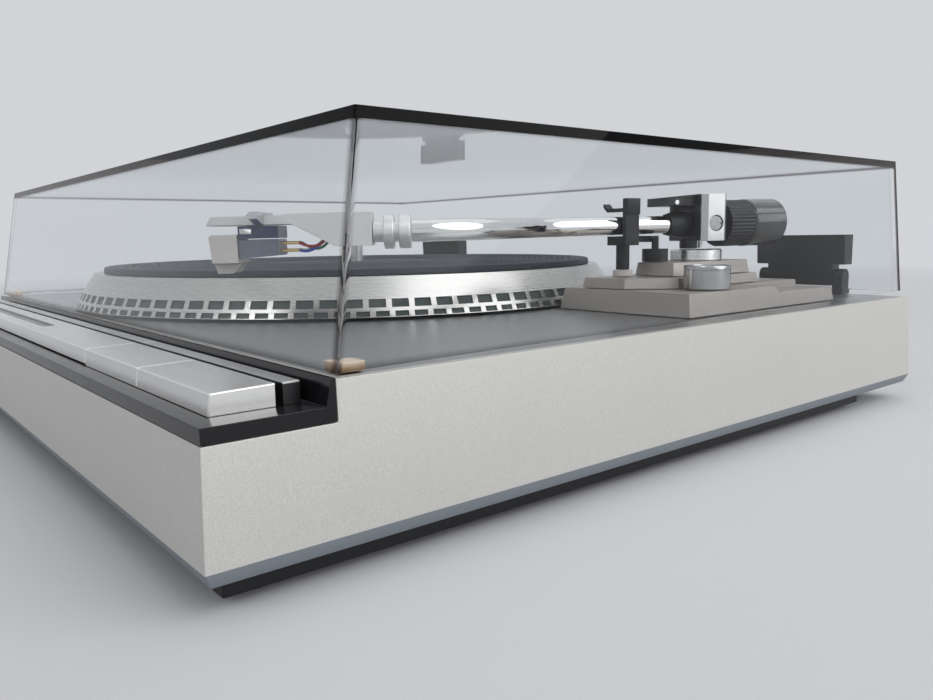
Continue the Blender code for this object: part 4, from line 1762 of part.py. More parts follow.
def build_hinges(parts, cutters, looks):
    """Each hinge: ears and a pin on the deck, and a holder with a barrel that carries the lid."""
    lean = (LID_REAR_Y - LID_TOP_REAR_Y) / (LID_TOP - LID_REAR_BOTTOM)
    for name, side in (("left", -1), ("right", 1)):
        centre = side * HOLDER_CENTRE_X
        face = LID_REAR_Y + SEAT_GAP
        outline = [
            (face, HOLDER_BOTTOM), (face - lean * (HOLDER_TOP - HOLDER_BOTTOM), HOLDER_TOP),
            (HOLDER_REAR_Y, HOLDER_TOP), (HOLDER_REAR_Y, HINGE_AXIS_Z), (
                HINGE_AXIS_Y, HINGE_AXIS_Z - BARREL_RADIUS
            ),
            (face + SEAT_GAP, HOLDER_BOTTOM),
        ]
        holder = add_object(
            parts, "hinge_holder_" + name,
            prism_mesh(
                "hinge_holder_" + name, outline, centre - HOLDER_WIDTH / 2, centre + HOLDER_WIDTH / 2, "X"
            ),
            looks["black"],
        )
        ear_inner = BARREL_HALF_WIDTH
        gap_low = HOLDER_BOTTOM - OVERRUN
        ear_room = boxes_mesh("ear_room_" + name, [
            (
                (centre + way * ear_inner, HINGE_AXIS_Y - BARREL_RADIUS * 2, gap_low),
                (
                    centre + way * HOLDER_WIDTH, HINGE_AXIS_Y + BARREL_RADIUS * 3,
                    HINGE_AXIS_Z + BARREL_RADIUS + OVERRUN,
                ),
            )
            for way in (-1, 1)
        ])
        boolean(holder, add_cutter(cutters, "ear_room_" + name, ear_room))
        bore = cylinders_mesh("pin_bore_" + name, [
            (
                (HINGE_AXIS_Y, HINGE_AXIS_Z), HINGE_PIN_RADIUS + HINGE_CLEARANCE, centre - HOLDER_WIDTH,
                centre + HOLDER_WIDTH,
            ),
        ], axis="X")
        boolean(holder, add_cutter(cutters, "pin_bore_" + name, bore))
        build_hinge_base(parts, cutters, looks, name, centre)


def ear_outline(low):
    """Section of a hinge ear: straight up to the axis and round over it, so that the lid swings clear."""
    radius = BARREL_RADIUS - SEAT_GAP
    turns = [math.pi * count / SMALL_STEPS for count in range(SMALL_STEPS + 1)]
    top = [(HINGE_AXIS_Y + radius * math.cos(turn), HINGE_AXIS_Z + radius * math.sin(turn)) for turn in turns]
    return [(HINGE_AXIS_Y - radius, low), (HINGE_AXIS_Y + radius, low)] + top


def build_hinge_base(parts, cutters, looks, name, centre):
    ear_near = BARREL_HALF_WIDTH + SEAT_GAP
    ear_far = ear_near + EAR_THICKNESS
    front, rear = HINGE_AXIS_Y - BARREL_RADIUS, HINGE_AXIS_Y + BARREL_RADIUS
    low = DECK_HEIGHT + SEAT_GAP
    foot_top = low + EAR_THICKNESS / 3
    base = add_object(
        parts, "hinge_base_" + name,
        box_mesh("hinge_base_" + name, (centre - ear_far, front, low), (centre + ear_far, rear, foot_top)),
        looks["black"],
    )
    for way, edge in ((-1, "outer"), (1, "inner")):
        ends = sorted((centre + way * ear_near, centre + way * (ear_far - SEAT_GAP)))
        ear = prism_mesh(f"ear_{name}_{edge}", ear_outline(low + SEAT_GAP), *ends, "X")
        boolean(base, add_cutter(cutters, f"ear_{name}_{edge}", ear), "UNION")
    pin = cylinders_mesh("hinge_pin_" + name, [
        (
            (HINGE_AXIS_Y, HINGE_AXIS_Z), HINGE_PIN_RADIUS, centre - ear_far + OVERRUN,
            centre + ear_far - OVERRUN,
        ),
    ], axis="X")
    boolean(base, add_cutter(cutters, "hinge_pin_" + name, pin), "UNION")


def main():
    clear_scene()
    parts = new_collection("turntable")
    cutters = new_collection("cutters")
    looks = make_materials()
    build_plinth(parts, cutters, looks)
    build_deck(parts, cutters, looks)
    build_base(parts, cutters, looks)
    build_inside(parts, cutters, looks)
    build_tray(parts, cutters, looks)
    build_keys(parts, cutters, looks)
    build_lift_key(parts, cutters, looks)
    build_long_bar(parts, cutters, looks)
    spindle = add_object(parts, "spindle_axis", None, None, None, (SPINDLE_X, SPINDLE_Y, 0))
    build_platter(parts, cutters, looks, spindle)
    build_motor(parts, cutters, looks, spindle)
    build_arm_base(parts, cutters, looks)
    swing, gimbal, tube, shell = arm_frames(parts)
    build_gimbal(parts, cutters, looks, swing, gimbal)
    build_tube(parts, cutters, looks, gimbal, tube)
    build_rear_end(parts, cutters, looks, tube)
    build_connector(parts, cutters, looks, shell)
    build_headshell(parts, cutters, looks, shell)
    build_cartridge(parts, cutters, looks, shell)
    build_leads(parts, cutters, looks, shell)
    build_arm_rest(parts, cutters, looks, swing)
    build_lifter(parts, cutters, looks)
    build_lid(parts, cutters, looks)
    build_hinges(parts, cutters, looks)


main()
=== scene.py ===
"""Finishes, small pieces, stage and camera for a turntable with a clear lid.

Metres, +Z up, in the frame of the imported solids: X to the right seen from the front, Y to the rear.
"""
import json
import math

import bmesh
import bpy
from bpy.props import FloatProperty, FloatVectorProperty, PointerProperty
from mathutils import Matrix, Vector


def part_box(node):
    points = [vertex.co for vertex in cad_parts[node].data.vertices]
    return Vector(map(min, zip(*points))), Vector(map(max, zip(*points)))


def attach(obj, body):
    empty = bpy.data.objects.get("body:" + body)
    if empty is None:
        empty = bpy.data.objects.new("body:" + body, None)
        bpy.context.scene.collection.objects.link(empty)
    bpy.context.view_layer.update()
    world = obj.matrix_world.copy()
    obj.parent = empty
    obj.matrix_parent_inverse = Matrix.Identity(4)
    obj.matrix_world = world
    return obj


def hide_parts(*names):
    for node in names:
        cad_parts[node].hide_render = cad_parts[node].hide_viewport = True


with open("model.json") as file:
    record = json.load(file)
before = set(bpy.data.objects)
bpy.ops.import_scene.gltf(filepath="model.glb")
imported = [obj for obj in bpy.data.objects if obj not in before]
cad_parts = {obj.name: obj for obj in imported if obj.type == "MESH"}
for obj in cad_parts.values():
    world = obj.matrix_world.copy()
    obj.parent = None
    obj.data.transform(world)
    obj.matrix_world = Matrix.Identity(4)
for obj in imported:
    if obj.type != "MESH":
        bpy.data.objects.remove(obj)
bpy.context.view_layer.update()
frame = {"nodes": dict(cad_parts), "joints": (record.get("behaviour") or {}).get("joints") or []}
NODES = frame["nodes"]
JOINTS = {joint["name"]: joint for joint in frame["joints"]}

bl_info = {
    "name": "Turntable looks",
    "version": (1, 0, 0),
    "blender": (4, 5, 0),
    "location": "3D View > Sidebar > Turntable",
    "description": "Finishes, small pieces, stage and camera for a turntable with a clear lid",
    "category": "Object",
}

UP = Vector((0, 0, 1))
SPINDLE = Vector(JOINTS["platter_spin"]["pos_m"])

# The headshell's own frame: forward along the shell, to the side that the camera sees, and up.
# It starts over the stylus. Behind the cartridge's rear are its pins.
SHELL_FORWARD = Vector(JOINTS["collar_turn"]["axis"]).normalized()
SHELL_SIDE = Vector((-SHELL_FORWARD.y, SHELL_FORWARD.x, 0)).normalized()
SHELL_UP = SHELL_FORWARD.cross(SHELL_SIDE).normalized()
COLLAR_TO_STYLUS = 0.05635
SHELL_ORIGIN = Vector(JOINTS["collar_turn"]["pos_m"]) + SHELL_FORWARD * COLLAR_TO_STYLUS
CARTRIDGE_REAR = -0.0194

# The arm's bearing: its middle, and the way to the side plate.
PIVOT = Vector(JOINTS["arm_raise"]["pos_m"])
GIMBAL_SIDE = -Vector(JOINTS["arm_raise"]["axis"]).normalized()

# Edges sharper than this angle are rounded, and stay sharp in the shading.
SMOOTH_DEG = 32.0
MERGE_DISTANCE = 0.000001
ROUND_STEPS = 96
SMALL_STEPS = 24
TUBE_STEPS = 10

# Widths of a brush line and of a ring left by the lathe.
BRUSH_LINE = 0.00016
LATHE_RING = 0.0002

# Each lamp's name, place, width and the setting that holds its power.
LAMPS = (
    ("key", (1.67, 0.54, 1.15), 2.6, "key_power"),
    ("fill", (0.55, -1.70, 1.25), 0.9, "fill_power"),
    ("top", (-0.20, 0.65, 1.75), 2.6, "top_power"),
)
LAMP_AIM = Vector((0, 0, 0.05))

CAMERA_PLACE = Vector((0.37946, -0.24255, 0.08531))
CAMERA_YAW_DEG = 50.671
CAMERA_PITCH_DEG = -8.179
CAMERA_ROLL_DEG = -0.992
SENSOR_WIDTH_MM = 36.0
CLIP_START = 0.01
FLOOR_RADIUS = 40.0

# Rays that see the plain backdrop: the camera's own, and those off metal and through glass.
SEEING_RAYS = ("Is Camera Ray", "Is Glossy Ray", "Is Transmission Ray")


def colour_property(name, description, default):
    """A colour that a user can change."""
    return FloatVectorProperty(
        name=name, description=description, default=default, subtype="COLOR", size=3, min=0.0, max=1.0
    )


def length_property(name, description, default):
    """A length in metres that a user can change."""
    return FloatProperty(
        name=name, description=description, default=default, unit="LENGTH", min=0.0, precision=5
    )


def power_property(name, description, default):
    """A lamp's power that a user can change."""
    return FloatProperty(name=name, description=description, default=default, unit="POWER", min=0.0)


class TurntableColours(bpy.types.PropertyGroup):
    """Colours of the turntable's finishes."""

    paint: colour_property("Paint", "Silver paint of the plinth", (0.600, 0.590, 0.560))
    # The strip's colour is painted shade, where the chamfer faces down and away from the lamps.
    strip: colour_property("Strip", "Chamfer along the foot of the plinth", (0.200, 0.225, 0.250))
    deck: colour_property("Deck", "Brushed deck plate", (0.330, 0.335, 0.345))
    casting: colour_property("Casting", "Satin blocks under the arm", (0.330, 0.300, 0.275))
    platter: colour_property("Platter", "Turned platter", (0.540, 0.525, 0.500))
    pocket: colour_property("Pocket", "Paint in the platter's strobe pockets", (0.030, 0.040, 0.038))
    aluminium: colour_property("Aluminium", "Brushed keys and rings", (0.780, 0.775, 0.760))
    chrome: colour_property("Chrome", "Arm tube and knob", (0.820, 0.810, 0.795))
    steel: colour_property("Steel", "Screws, pins and spindle", (0.600, 0.600, 0.600))
    black: colour_property("Black", "Black moulded pieces", (0.009, 0.009, 0.011))
    rubber: colour_property("Rubber", "Mat and feet", (0.022, 0.026, 0.034))
    acrylic: colour_property("Acrylic", "Clear lid", (0.930, 0.945, 0.955))
    # Painted shade: the colour of the dark bands along the lid's edges, where the clear acrylic looks dark
    # seen along the sheet.
    edge: colour_property("Edge", "Smoky edges of the lid", (0.095, 0.080, 0.078))
    # The lid's pads are amber at the foot and paler cream towards the top.
    amber: colour_property("Amber", "Yellowed foot of the lid's pads", (0.380, 0.190, 0.060))
    cream: colour_property("Cream", "Paler top of the lid's pads", (0.600, 0.480, 0.370))
    slate: colour_property("Slate", "Cartridge body", (0.085, 0.100, 0.130))
    navy: colour_property("Navy", "Cartridge mounting block", (0.020, 0.032, 0.075))
    pale: colour_property("Pale", "Cartridge front and the disc under the arm rest", (0.430, 0.400, 0.380))
    gilt: colour_property("Gilt", "Cartridge pins and signal sockets", (0.760, 0.560, 0.240))
    brass: colour_property("Brass", "Bearing housing", (0.620, 0.460, 0.240))
    board: colour_property("Board", "Circuit board", (0.200, 0.110, 0.040))
    coils: colour_property("Coils", "Motor coils", (0.280, 0.130, 0.060))
    lead_red: colour_property("Red lead", "Upper cartridge lead on the near side", (0.300, 0.015, 0.015))
    lead_blue: colour_property("Blue lead", "Lower cartridge lead on the near side", (0.020, 0.060, 0.300))
    lead_green: colour_property("Green lead", "Upper cartridge lead on the far side", (0.020, 0.180, 0.060))
    lead_white: colour_property("White lead", "Lower cartridge lead on the far side", (0.550, 0.540, 0.520))


class TurntableSizes(bpy.types.PropertyGroup):
    """Sizes of the small forms that the solids leave out."""

    soft_edge: length_property("Soft edge", "Width of the broken edges on metal pieces", 0.00018)
    moulded_edge: length_property("Moulded edge", "Width of the rounded edges on moulded pieces", 0.00035)
    strip_height: length_property("Strip height", "Height of the chamfer along the plinth's foot", 0.0041)
    rib_pitch: length_property("Rib pitch", "Distance from rib to rib on the mat", 0.0032)
    rib_depth: length_property("Rib depth", "Depth of the mat's grooves", 0.0008)
    label_radius: length_property("Label radius", "Radius of the mat's plain middle", 0.0510)
    lead_radius: length_property("Lead radius", "Radius of a cartridge lead", 0.00050)
    lid_edge: length_property("Lid edge", "Width of the rounded edges on the lid", 0.00060)
    # The bands along the lid's edges are painted shade.
    edge_band: length_property("Edge band", "Width of the smoky band along the lid's upright edges", 0.0026)
    top_band: length_property("Top band", "Width of the smoky band along the lid's top edges", 0.0040)


class TurntableStage(bpy.types.PropertyGroup):
    """Light and camera."""

    floor: colour_property("Floor", "Floor under the turntable", (0.720, 0.730, 0.750))
    backdrop: colour_property("Backdrop", "Plain colour that the floor runs out into", (0.640, 0.655, 0.680))
    clear_radius: length_property("Clear radius", "Radius inside which the floor is plain floor", 0.6)
    fade_radius: length_property("Fade radius", "Radius at which the floor has run out", 1.8)
    ambient: colour_property("Ambient", "Tint of the light from all round", (0.960, 0.975, 1.000))
    ambient_level: FloatProperty(
        name="Ambient level", description="Strength of the light from all round", default=0.36, min=0.0
    )
    key_power: power_property("Key power", "Power of the main lamp, on the right", 27.0)
    fill_power: power_property("Fill power", "Power of the lamp in front", 4.5)
    top_power: power_property("Top power", "Power of the lamp overhead", 5.0)
    lens: FloatProperty(name="Lens", description="Focal length of the camera", default=30.56, unit="CAMERA")


class Wire:
    """An output socket on which Python's operators add Math nodes."""

    def __init__(self, finish, socket):
        self.finish = finish
        self.socket = socket

    def maths(self, operation, *values):
        return self.finish.node("Math", {"operation": operation}, dict(enumerate(values)))

    def __add__(self, other):
        return self.maths("ADD", self, other)

    __radd__ = __add__

    def __sub__(self, other):
        return self.maths("SUBTRACT", self, other)

    def __rsub__(self, other):
        return self.maths("SUBTRACT", other, self)

    def __mul__(self, other):
        return self.maths("MULTIPLY", self, other)

    __rmul__ = __mul__

    def __truediv__(self, other):
        return self.maths("DIVIDE", self, other)

    def __pow__(self, other):
        return self.maths("POWER", self, other)

    def __gt__(self, other):
        return self.maths("GREATER_THAN", self, other)

    def __lt__(self, other):
        return self.maths("LESS_THAN", self, other)

    def __abs__(self):
        return self.maths("ABSOLUTE", self)

    def clamped(self):
        return self.finish.node("Clamp", None, {0: self})


class Finish:
    """A material on one Principled shader, with the nodes that vary it."""

    def __init__(self, name, colour, roughness, metallic=0.0, **constants):
        self.material = bpy.data.materials.new(name)
        self.material.use_nodes = True
        self.tree = self.material.node_tree
        self.shader = self.tree.nodes["Principled BSDF"]
        self.colour = (*colour, 1.0)
        self.shader.inputs["Base Color"].default_value = self.colour
        self.shader.inputs["Roughness"].default_value = roughness
        self.shader.inputs["Metallic"].default_value = metallic
        for socket, value in constants.items():
            self.shader.inputs[socket.replace("_", " ")].default_value = value

    def node(self, kind, settings=None, sockets=None, output=0):
        """One node of a kind, its settings first and then what its sockets hold."""
        made = self.tree.nodes.new("ShaderNode" + kind)
        for name, value in (settings or {}).items():
            setattr(made, name, value)
        for name, value in (sockets or {}).items():
            if isinstance(value, Wire):
                self.tree.links.new(value.socket, made.inputs[name])
            else:
                made.inputs[name].default_value = value
        return Wire(self, made.outputs[output])

    def feed(self, socket, wire):
        """Lead a wire into one of the shader's sockets."""
        self.tree.links.new(wire.socket, self.shader.inputs[socket])
        return self

    def place(self):
        """Each point's place in the shared frame."""
        return self.node("TexCoord", output="Object")

    def axes(self):
        """Each point's distance along X, Y and Z."""
        spread = self.node("SeparateXYZ", None, {0: self.place()}).socket.node
        return [Wire(self, output) for output in spread.outputs]

    def along(self, direction, origin):
        """Distance along a direction from an origin, at each point."""
        moved = self.node("VectorMath", {"operation": "SUBTRACT"}, {0: self.place(), 1: tuple(origin)})
        return self.node("VectorMath", {"operation": "DOT_PRODUCT"}, {0: moved, 1: tuple(direction)}, "Value")

    def noise(self, size, stretch=(1, 1, 1), detail=2.0, vector=None):
        """Noise from 0 to 1 with patches of about the given size in metres, drawn out by the stretch."""
        scale = tuple(1 / (size * share) for share in stretch)
        placed = self.node("Mapping", None, {"Vector": vector or self.place(), "Scale": scale})
        return self.node("TexNoise", None, {"Vector": placed, "Scale": 1.0, "Detail": detail}, "Fac")

    def mixed(self, factor, first, second):
        """A colour between two: the sockets are those that a Mix node has for colours."""
        return self.node("Mix", {"data_type": "RGBA"}, {0: factor, 6: first, 7: second}, 2)

    def surfaced(self, factor, other):
        """The finished material, with another shader mixed in by a factor."""
        own = Wire(self, self.shader.outputs[0])
        mixed = self.node("MixShader", None, {0: factor, 1: own, 2: other})
        self.tree.links.new(mixed.socket, self.tree.nodes["Material Output"].inputs["Surface"])
        return self.material

    def shaded(self, wire, amount):
        """The finish's own colour made darker and lighter by a wire that runs from 0 to 1."""
        dark = (*dimmed(self.colour[:3], 1 - amount), 1.0)
        light = (*(min(1.0, value) for value in dimmed(self.colour[:3], 1 + amount)), 1.0)
        return self.mixed(wire, dark, light)

    def bump(self, height, distance, strength):
        """Small relief of a depth in metres, from a wire that runs from 0 to 1."""
        sockets = {"Strength": strength, "Distance": distance, "Height": height}
        return self.feed("Normal", self.node("Bump", None, sockets, "Normal"))


def dimmed(colour, share):
    """A colour at a share of its brightness."""
    return tuple(value * share for value in colour)


def sum_of(wires):
    """All the wires added up."""
    total = wires[0]
    for wire in wires[1:]:
        total = total + wire
    return total


def painted(name, colour, grain, strip_top=0.0, strip_shade_colour=(0, 0, 0)):
    """Metallic paint with a fine grain, and painted shade in another colour below the top of a strip."""
    finish = Finish(name, colour, 0.46, 0.25, Coat_Weight=0.08, Coat_Roughness=0.3)
    specks = finish.noise(grain, detail=3.0)
    clouds = finish.noise(0.05)
    paint = finish.shaded(specks * 0.85 + clouds * 0.15, 0.24)
    # Painted shade: the chamfer below the strip's top is darkened in the strip's colour.
    if strip_top:
        strip = finish.axes()[2] < strip_top
        paint = finish.mixed(strip, paint, (*strip_shade_colour, 1.0))
    finish.feed("Base Color", paint)
    finish.feed("Roughness", specks * 0.16 + 0.38)
    return finish.bump(specks, 0.00004, 0.55).material


def brushed(name, colour, stretch, roughness, contrast):
    """Brushed metal whose lines run along the axis that the stretch draws out."""
    finish = Finish(name, colour, roughness, 1.0)
    lines = finish.noise(BRUSH_LINE, stretch, 3.0)
    finish.feed("Base Color", finish.shaded(lines, contrast))
    finish.feed("Roughness", lines * 0.16 + (roughness - 0.08))
    return finish.bump(lines, 0.00001, 0.5).material


def moulded(name, colour, roughness=0.42):
    """Moulded plastic with a faint texture and cloudy wear."""
    finish = Finish(name, colour, roughness, Specular_IOR_Level=0.3)
    texture = finish.noise(0.0005)
    clouds = finish.noise(0.012)
    finish.feed("Roughness", clouds * 0.14 + texture * 0.06 + (roughness - 0.09))
    finish.feed("Base Color", finish.shaded(clouds, 0.22))
    return finish.bump(texture, 0.000012, 0.5).material


def lacquered(name, colour):
    """Gloss black lacquer with the faint smears of handling."""
    finish = Finish(name, colour, 0.2, Coat_Weight=0.8, Coat_Roughness=0.06)
    smears = finish.noise(0.006, detail=3.0)
    finish.feed("Base Color", finish.shaded(smears, 0.2))
    return finish.feed("Roughness", smears * 0.14 + 0.12).material


def casting(name, colour):
    """A fine blasted and painted casting."""
    finish = Finish(name, colour, 0.42, 0.65)
    grain = finish.noise(0.00032, detail=3.0)
    clouds = finish.noise(0.02)
    finish.feed("Base Color", finish.shaded(grain * 0.6 + clouds * 0.4, 0.14))
    finish.feed("Roughness", grain * 0.18 + 0.33)
    return finish.bump(grain, 0.00003, 0.6).material


def polished(name, colour, roughness):
    """Bright plating with the faint smears of handling."""
    finish = Finish(name, colour, roughness, 1.0)
    smears = finish.noise(0.009, detail=3.0)
    finish.feed("Roughness", smears * roughness + roughness * 0.5)
    return finish.feed("Base Color", finish.shaded(smears, 0.03)).material


def turned(name, colour, centre, roughness=0.26):
    """Metal turned on a lathe about an upright line, with fine rings."""
    finish = Finish(name, colour, roughness, 1.0)
    rings = ring_noise(finish, centre)
    finish.feed("Base Color", finish.shaded(rings, 0.07))
    finish.feed("Roughness", rings * 0.14 + (roughness - 0.07))
    return finish.bump(rings, 0.000012, 0.6).material


def ring_noise(finish, centre):
    """Noise that runs in rings round an upright line through the centre."""
    across, deep, high = finish.axes()
    radius = ((across - centre[0]) ** 2 + (deep - centre[1]) ** 2) ** 0.5
    rings = finish.node("CombineXYZ", None, {0: radius, 2: high})
    return finish.noise(LATHE_RING, vector=rings)


def platter_finish(colours):
    """Turned aluminium with dark paint in the strobe pockets, found by their depth under the cone."""
    low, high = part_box("platter")
    finish = Finish("turned_platter", colours.platter, 0.28, 1.0)
    across, deep, height = finish.axes()
    radius = ((across - SPINDLE.x) ** 2 + (deep - SPINDLE.y) ** 2) ** 0.5
    outer = (high.x - low.x) / 2
    cone_height = 0.0075
    cone_drop = 0.0038
    pocket_share = 0.98
    pocket_depth = 0.0003
    rim_width = 0.006
    wall = outer - (height - low.z) * (cone_drop / cone_height)
    under_wall = (radius < wall - pocket_depth) * (radius > outer - rim_width)
    sunk = under_wall * (height < low.z + cone_height * pocket_share)
    rings = ring_noise(finish, SPINDLE)
    finish.feed("Base Color", finish.mixed(sunk, finish.shaded(rings, 0.06), (*colours.pocket, 1.0)))
    finish.feed("Metallic", 1.0 - sunk)
    finish.feed("Roughness", rings * 0.14 + 0.20 + sunk * 0.4)
    return finish.bump(rings, 0.000012, 0.6).material


def acrylic_finish(colours, sizes):
    """Clear acrylic that lets the lamps in, with painted shade in a dark band along its edges."""
    low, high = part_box("dust_cover")
    tops = [vert.co for vert in NODES["dust_cover"].data.vertices if vert.co.z > high.z - sizes.edge_band]
    top_x = max(spot.x for spot in tops)
    top_front = min(spot.y for spot in tops)
    top_rear = max(spot.y for spot in tops)
    rise = high.z - low.z
    finish = Finish(
        "clear_acrylic", colours.acrylic, 0.0, Transmission_Weight=1.0, IOR=1.12, Coat_Weight=0.10,
        Coat_Roughness=0.02,
    )
    across, deep, height = finish.axes()
    drop = high.z - height
    to_sides = drop * ((high.x - top_x) / rise) + top_x - abs(across)
    to_front = deep - (top_front - drop * ((top_front - low.y) / rise))
    to_rear = (drop * ((high.y - top_rear) / rise) + top_rear) - deep
    walls = (to_sides, to_front, to_rear)
    # Painted shade in dark bands along the top edges, the front corners, the right rear corner and the foot;
    # the band along the foot also paints the shadow at the lid's bottom rim.
    top_share = 4.0
    front_share = 1.1
    rear_share = 6.0
    foot_share = 0.8
    under_top = (1.0 - drop / sizes.top_band).clamped()
    top_edges = sum_of([under_top * (1.0 - wall / sizes.top_band).clamped() for wall in walls]) * top_share
    side, front, rear = ((1.0 - wall / sizes.edge_band).clamped() for wall in walls)
    front_edges = side * front * front_share
    right_rear = side * rear * (across > 0.0) * rear_share
    foot = (1.0 - (height - low.z) / sizes.edge_band).clamped() * foot_share
    edge_shade = (top_edges + front_edges + right_rear + foot).clamped()
    finish.feed("Base Color", finish.mixed(edge_shade, finish.colour, (*colours.edge, 1.0)))
    finish.feed("Roughness", finish.noise(0.03, detail=3.0) * 0.006)
    let_in = finish.node("BsdfTransparent", None, {0: finish.colour})
    lamp_ray = finish.node("LightPath", output="Is Shadow Ray")
    return finish.surfaced(lamp_ray, let_in)


def pad_finish(colours):
    """Pads that are amber at the foot and paler cream towards the top."""
    low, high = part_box("corner_bumper_right")
    finish = Finish("yellowed_pads", colours.amber, 0.35)
    height = finish.axes()[2]
    clouds = finish.noise(0.004)
    share = ((height - low.z) / (high.z - low.z) + clouds * 0.6 - 0.3).clamped()
    finish.feed("Base Color", finish.mixed(share, finish.colour, (*colours.cream, 1.0)))
    finish.feed("Roughness", clouds * 0.2 + 0.25)
    return finish.bump(clouds, 0.0001, 0.3).material


def rubber_finish(name, colour, dusty=0.35):
    """Matt rubber with patches of dust."""
    finish = Finish(name, colour, 0.62, Specular_IOR_Level=0.25)
    dust = finish.noise(0.006, detail=4.0)
    finish.feed("Base Color", finish.shaded(dust, dusty))
    finish.feed("Roughness", dust * 0.2 + 0.5)
    return finish.bump(finish.noise(0.0004), 0.00003, 0.5).material


def capped(name, colours, node, strip=0.0005):
    """A black bar with a metal strip along its top."""
    low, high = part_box(node)
    finish = Finish(name, colours.black, 0.4)
    height = finish.axes()[2]
    cap = height > high.z - strip
    lines = finish.noise(BRUSH_LINE, (120, 1, 1), 3.0)
    finish.feed("Base Color", finish.mixed(cap, finish.colour, (*dimmed(colours.aluminium, 0.75), 1.0)))
    finish.feed("Metallic", cap)
    finish.feed("Roughness", lines * 0.14 + 0.24)
    return finish.bump(lines, 0.00001, 0.4).material


def pinned_body(colours):
    """Cartridge body: slate plastic whose rear pins are gilt."""
    finish = Finish("cartridge_slate", colours.slate, 0.34)
    pins = finish.along(SHELL_FORWARD, SHELL_ORIGIN) < CARTRIDGE_REAR
    clouds = finish.noise(0.004)
    finish.feed("Base Color", finish.mixed(pins, finish.shaded(clouds, 0.15), (*colours.gilt, 1.0)))
    finish.feed("Metallic", pins)
    finish.feed("Roughness", clouds * 0.12 + 0.24)
    return finish.bump(finish.noise(0.0004), 0.00001, 0.4).material


def jack_finish(colours):
    """The pair of signal jacks: gilt barrels in a black strip."""
    low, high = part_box("signal_sockets")
    centre = (low + high) / 2
    half_spacing = 0.0070
    barrel = 0.0042
    finish = Finish("gilt_jacks", colours.black, 0.4)
    across, _, height = finish.axes()
    rise = (height - centre.z) ** 2
    axes = [centre.x + way * half_spacing for way in (-1, 1)]
    gilt = sum_of([((across - axis) ** 2 + rise) ** 0.5 < barrel for axis in axes]).clamped()
    wear = finish.noise(0.002)
    finish.feed("Base Color", finish.mixed(gilt, finish.shaded(wear, 0.2), (*colours.gilt, 1.0)))
    finish.feed("Metallic", gilt)
    finish.feed("Roughness", wear * 0.16 + 0.16)
    return finish.bump(finish.noise(0.0004), 0.00001, 0.3).material


def screw_steel(colours, share=1.0):
    """Bright steel of a screw or pin, darker where the share is under one."""
    finish = Finish("bright_steel", dimmed(colours.steel, share), 0.24, 1.0)
    wear = finish.noise(0.0012, detail=3.0)
    finish.feed("Base Color", finish.shaded(wear, 0.12))
    return finish.feed("Roughness", wear * 0.2 + 0.14).material


def smooth_group():
    """A node group that shades smooth across edges flatter than its angle."""
    group = bpy.data.node_groups.new("smooth_by_angle", "GeometryNodeTree")
    group.interface.new_socket("Geometry", in_out="INPUT", socket_type="NodeSocketGeometry")
    group.interface.new_socket("Geometry", in_out="OUTPUT", socket_type="NodeSocketGeometry")
    nodes, links = group.nodes, group.links
    start, end = nodes.new("NodeGroupInput"), nodes.new("NodeGroupOutput")
    angle = nodes.new("GeometryNodeInputMeshEdgeAngle")
    flat = nodes.new("FunctionNodeCompare")
    flat.operation = "LESS_EQUAL"
    flat.inputs[1].default_value = math.radians(SMOOTH_DEG)
    faces = nodes.new("GeometryNodeSetShadeSmooth")
    faces.domain = "FACE"
    edges = nodes.new("GeometryNodeSetShadeSmooth")
    edges.domain = "EDGE"
    links.new(start.outputs[0], faces.inputs[0])
    links.new(faces.outputs[0], edges.inputs[0])
    links.new(angle.outputs[0], flat.inputs[0])
    links.new(flat.outputs[0], edges.inputs["Shade Smooth"])
    links.new(edges.outputs[0], end.inputs[0])
    return group


def soften(piece, width, segments=2):
    """Weld a solid's loose triangles, round its edges and shade it smooth, its large faces flat."""
    weld = piece.modifiers.new("weld", "WELD")
    weld.merge_threshold = MERGE_DISTANCE * 2
    if width:
        edges = piece.modifiers.new("edges", "BEVEL")
        edges.width = width
        edges.segments = segments
        edges.limit_method = "ANGLE"
        edges.angle_limit = math.radians(SMOOTH_DEG)
        edges.use_clamp_overlap = True
    smooth = piece.modifiers.new("smooth", "NODES")
    smooth.node_group = bpy.data.node_groups.get("smooth_by_angle") or smooth_group()
    flat = piece.modifiers.new("flat", "WEIGHTED_NORMAL")
    flat.mode = "FACE_AREA_WITH_ANGLE"
    flat.keep_sharp = True


def dress(names, material, width=0.0, segments=2):
    """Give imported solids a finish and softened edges."""
    for name in names:
        piece = NODES[name]
        piece.data.materials.clear()
        piece.data.materials.append(material)
        soften(piece, width, segments)


def new_piece(name, bm, material, body):
    """Make a bmesh into a piece that rides on a body."""
    bmesh.ops.remove_doubles(bm, verts=bm.verts, dist=MERGE_DISTANCE)
    bmesh.ops.recalc_face_normals(bm, faces=bm.faces)
    mesh = bpy.data.meshes.new(name)
    bm.to_mesh(mesh)
    bm.free()
    mesh.materials.append(material)
    mesh.shade_smooth()
    mesh.set_sharp_from_angle(angle=math.radians(SMOOTH_DEG))
    piece = bpy.data.objects.new(name, mesh)
    bpy.context.scene.collection.objects.link(piece)
    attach(piece, body)
    return piece


def spun(profile, place):
    """A bmesh turned about the local Z axis from a profile of radius and height, then placed."""
    bm = bmesh.new()
    verts = [bm.verts.new((radius, 0, height)) for radius, height in profile]
    edges = [bm.edges.new(pair) for pair in zip(verts, verts[1:])]
    bmesh.ops.spin(
        bm, geom=verts + edges, cent=(0, 0, 0), axis=(0, 0, 1), angle=math.tau, steps=ROUND_STEPS,
        use_merge=True,
    )
    bmesh.ops.remove_doubles(bm, verts=bm.verts, dist=MERGE_DISTANCE)
    bmesh.ops.transform(bm, matrix=place, verts=bm.verts)
    return bm


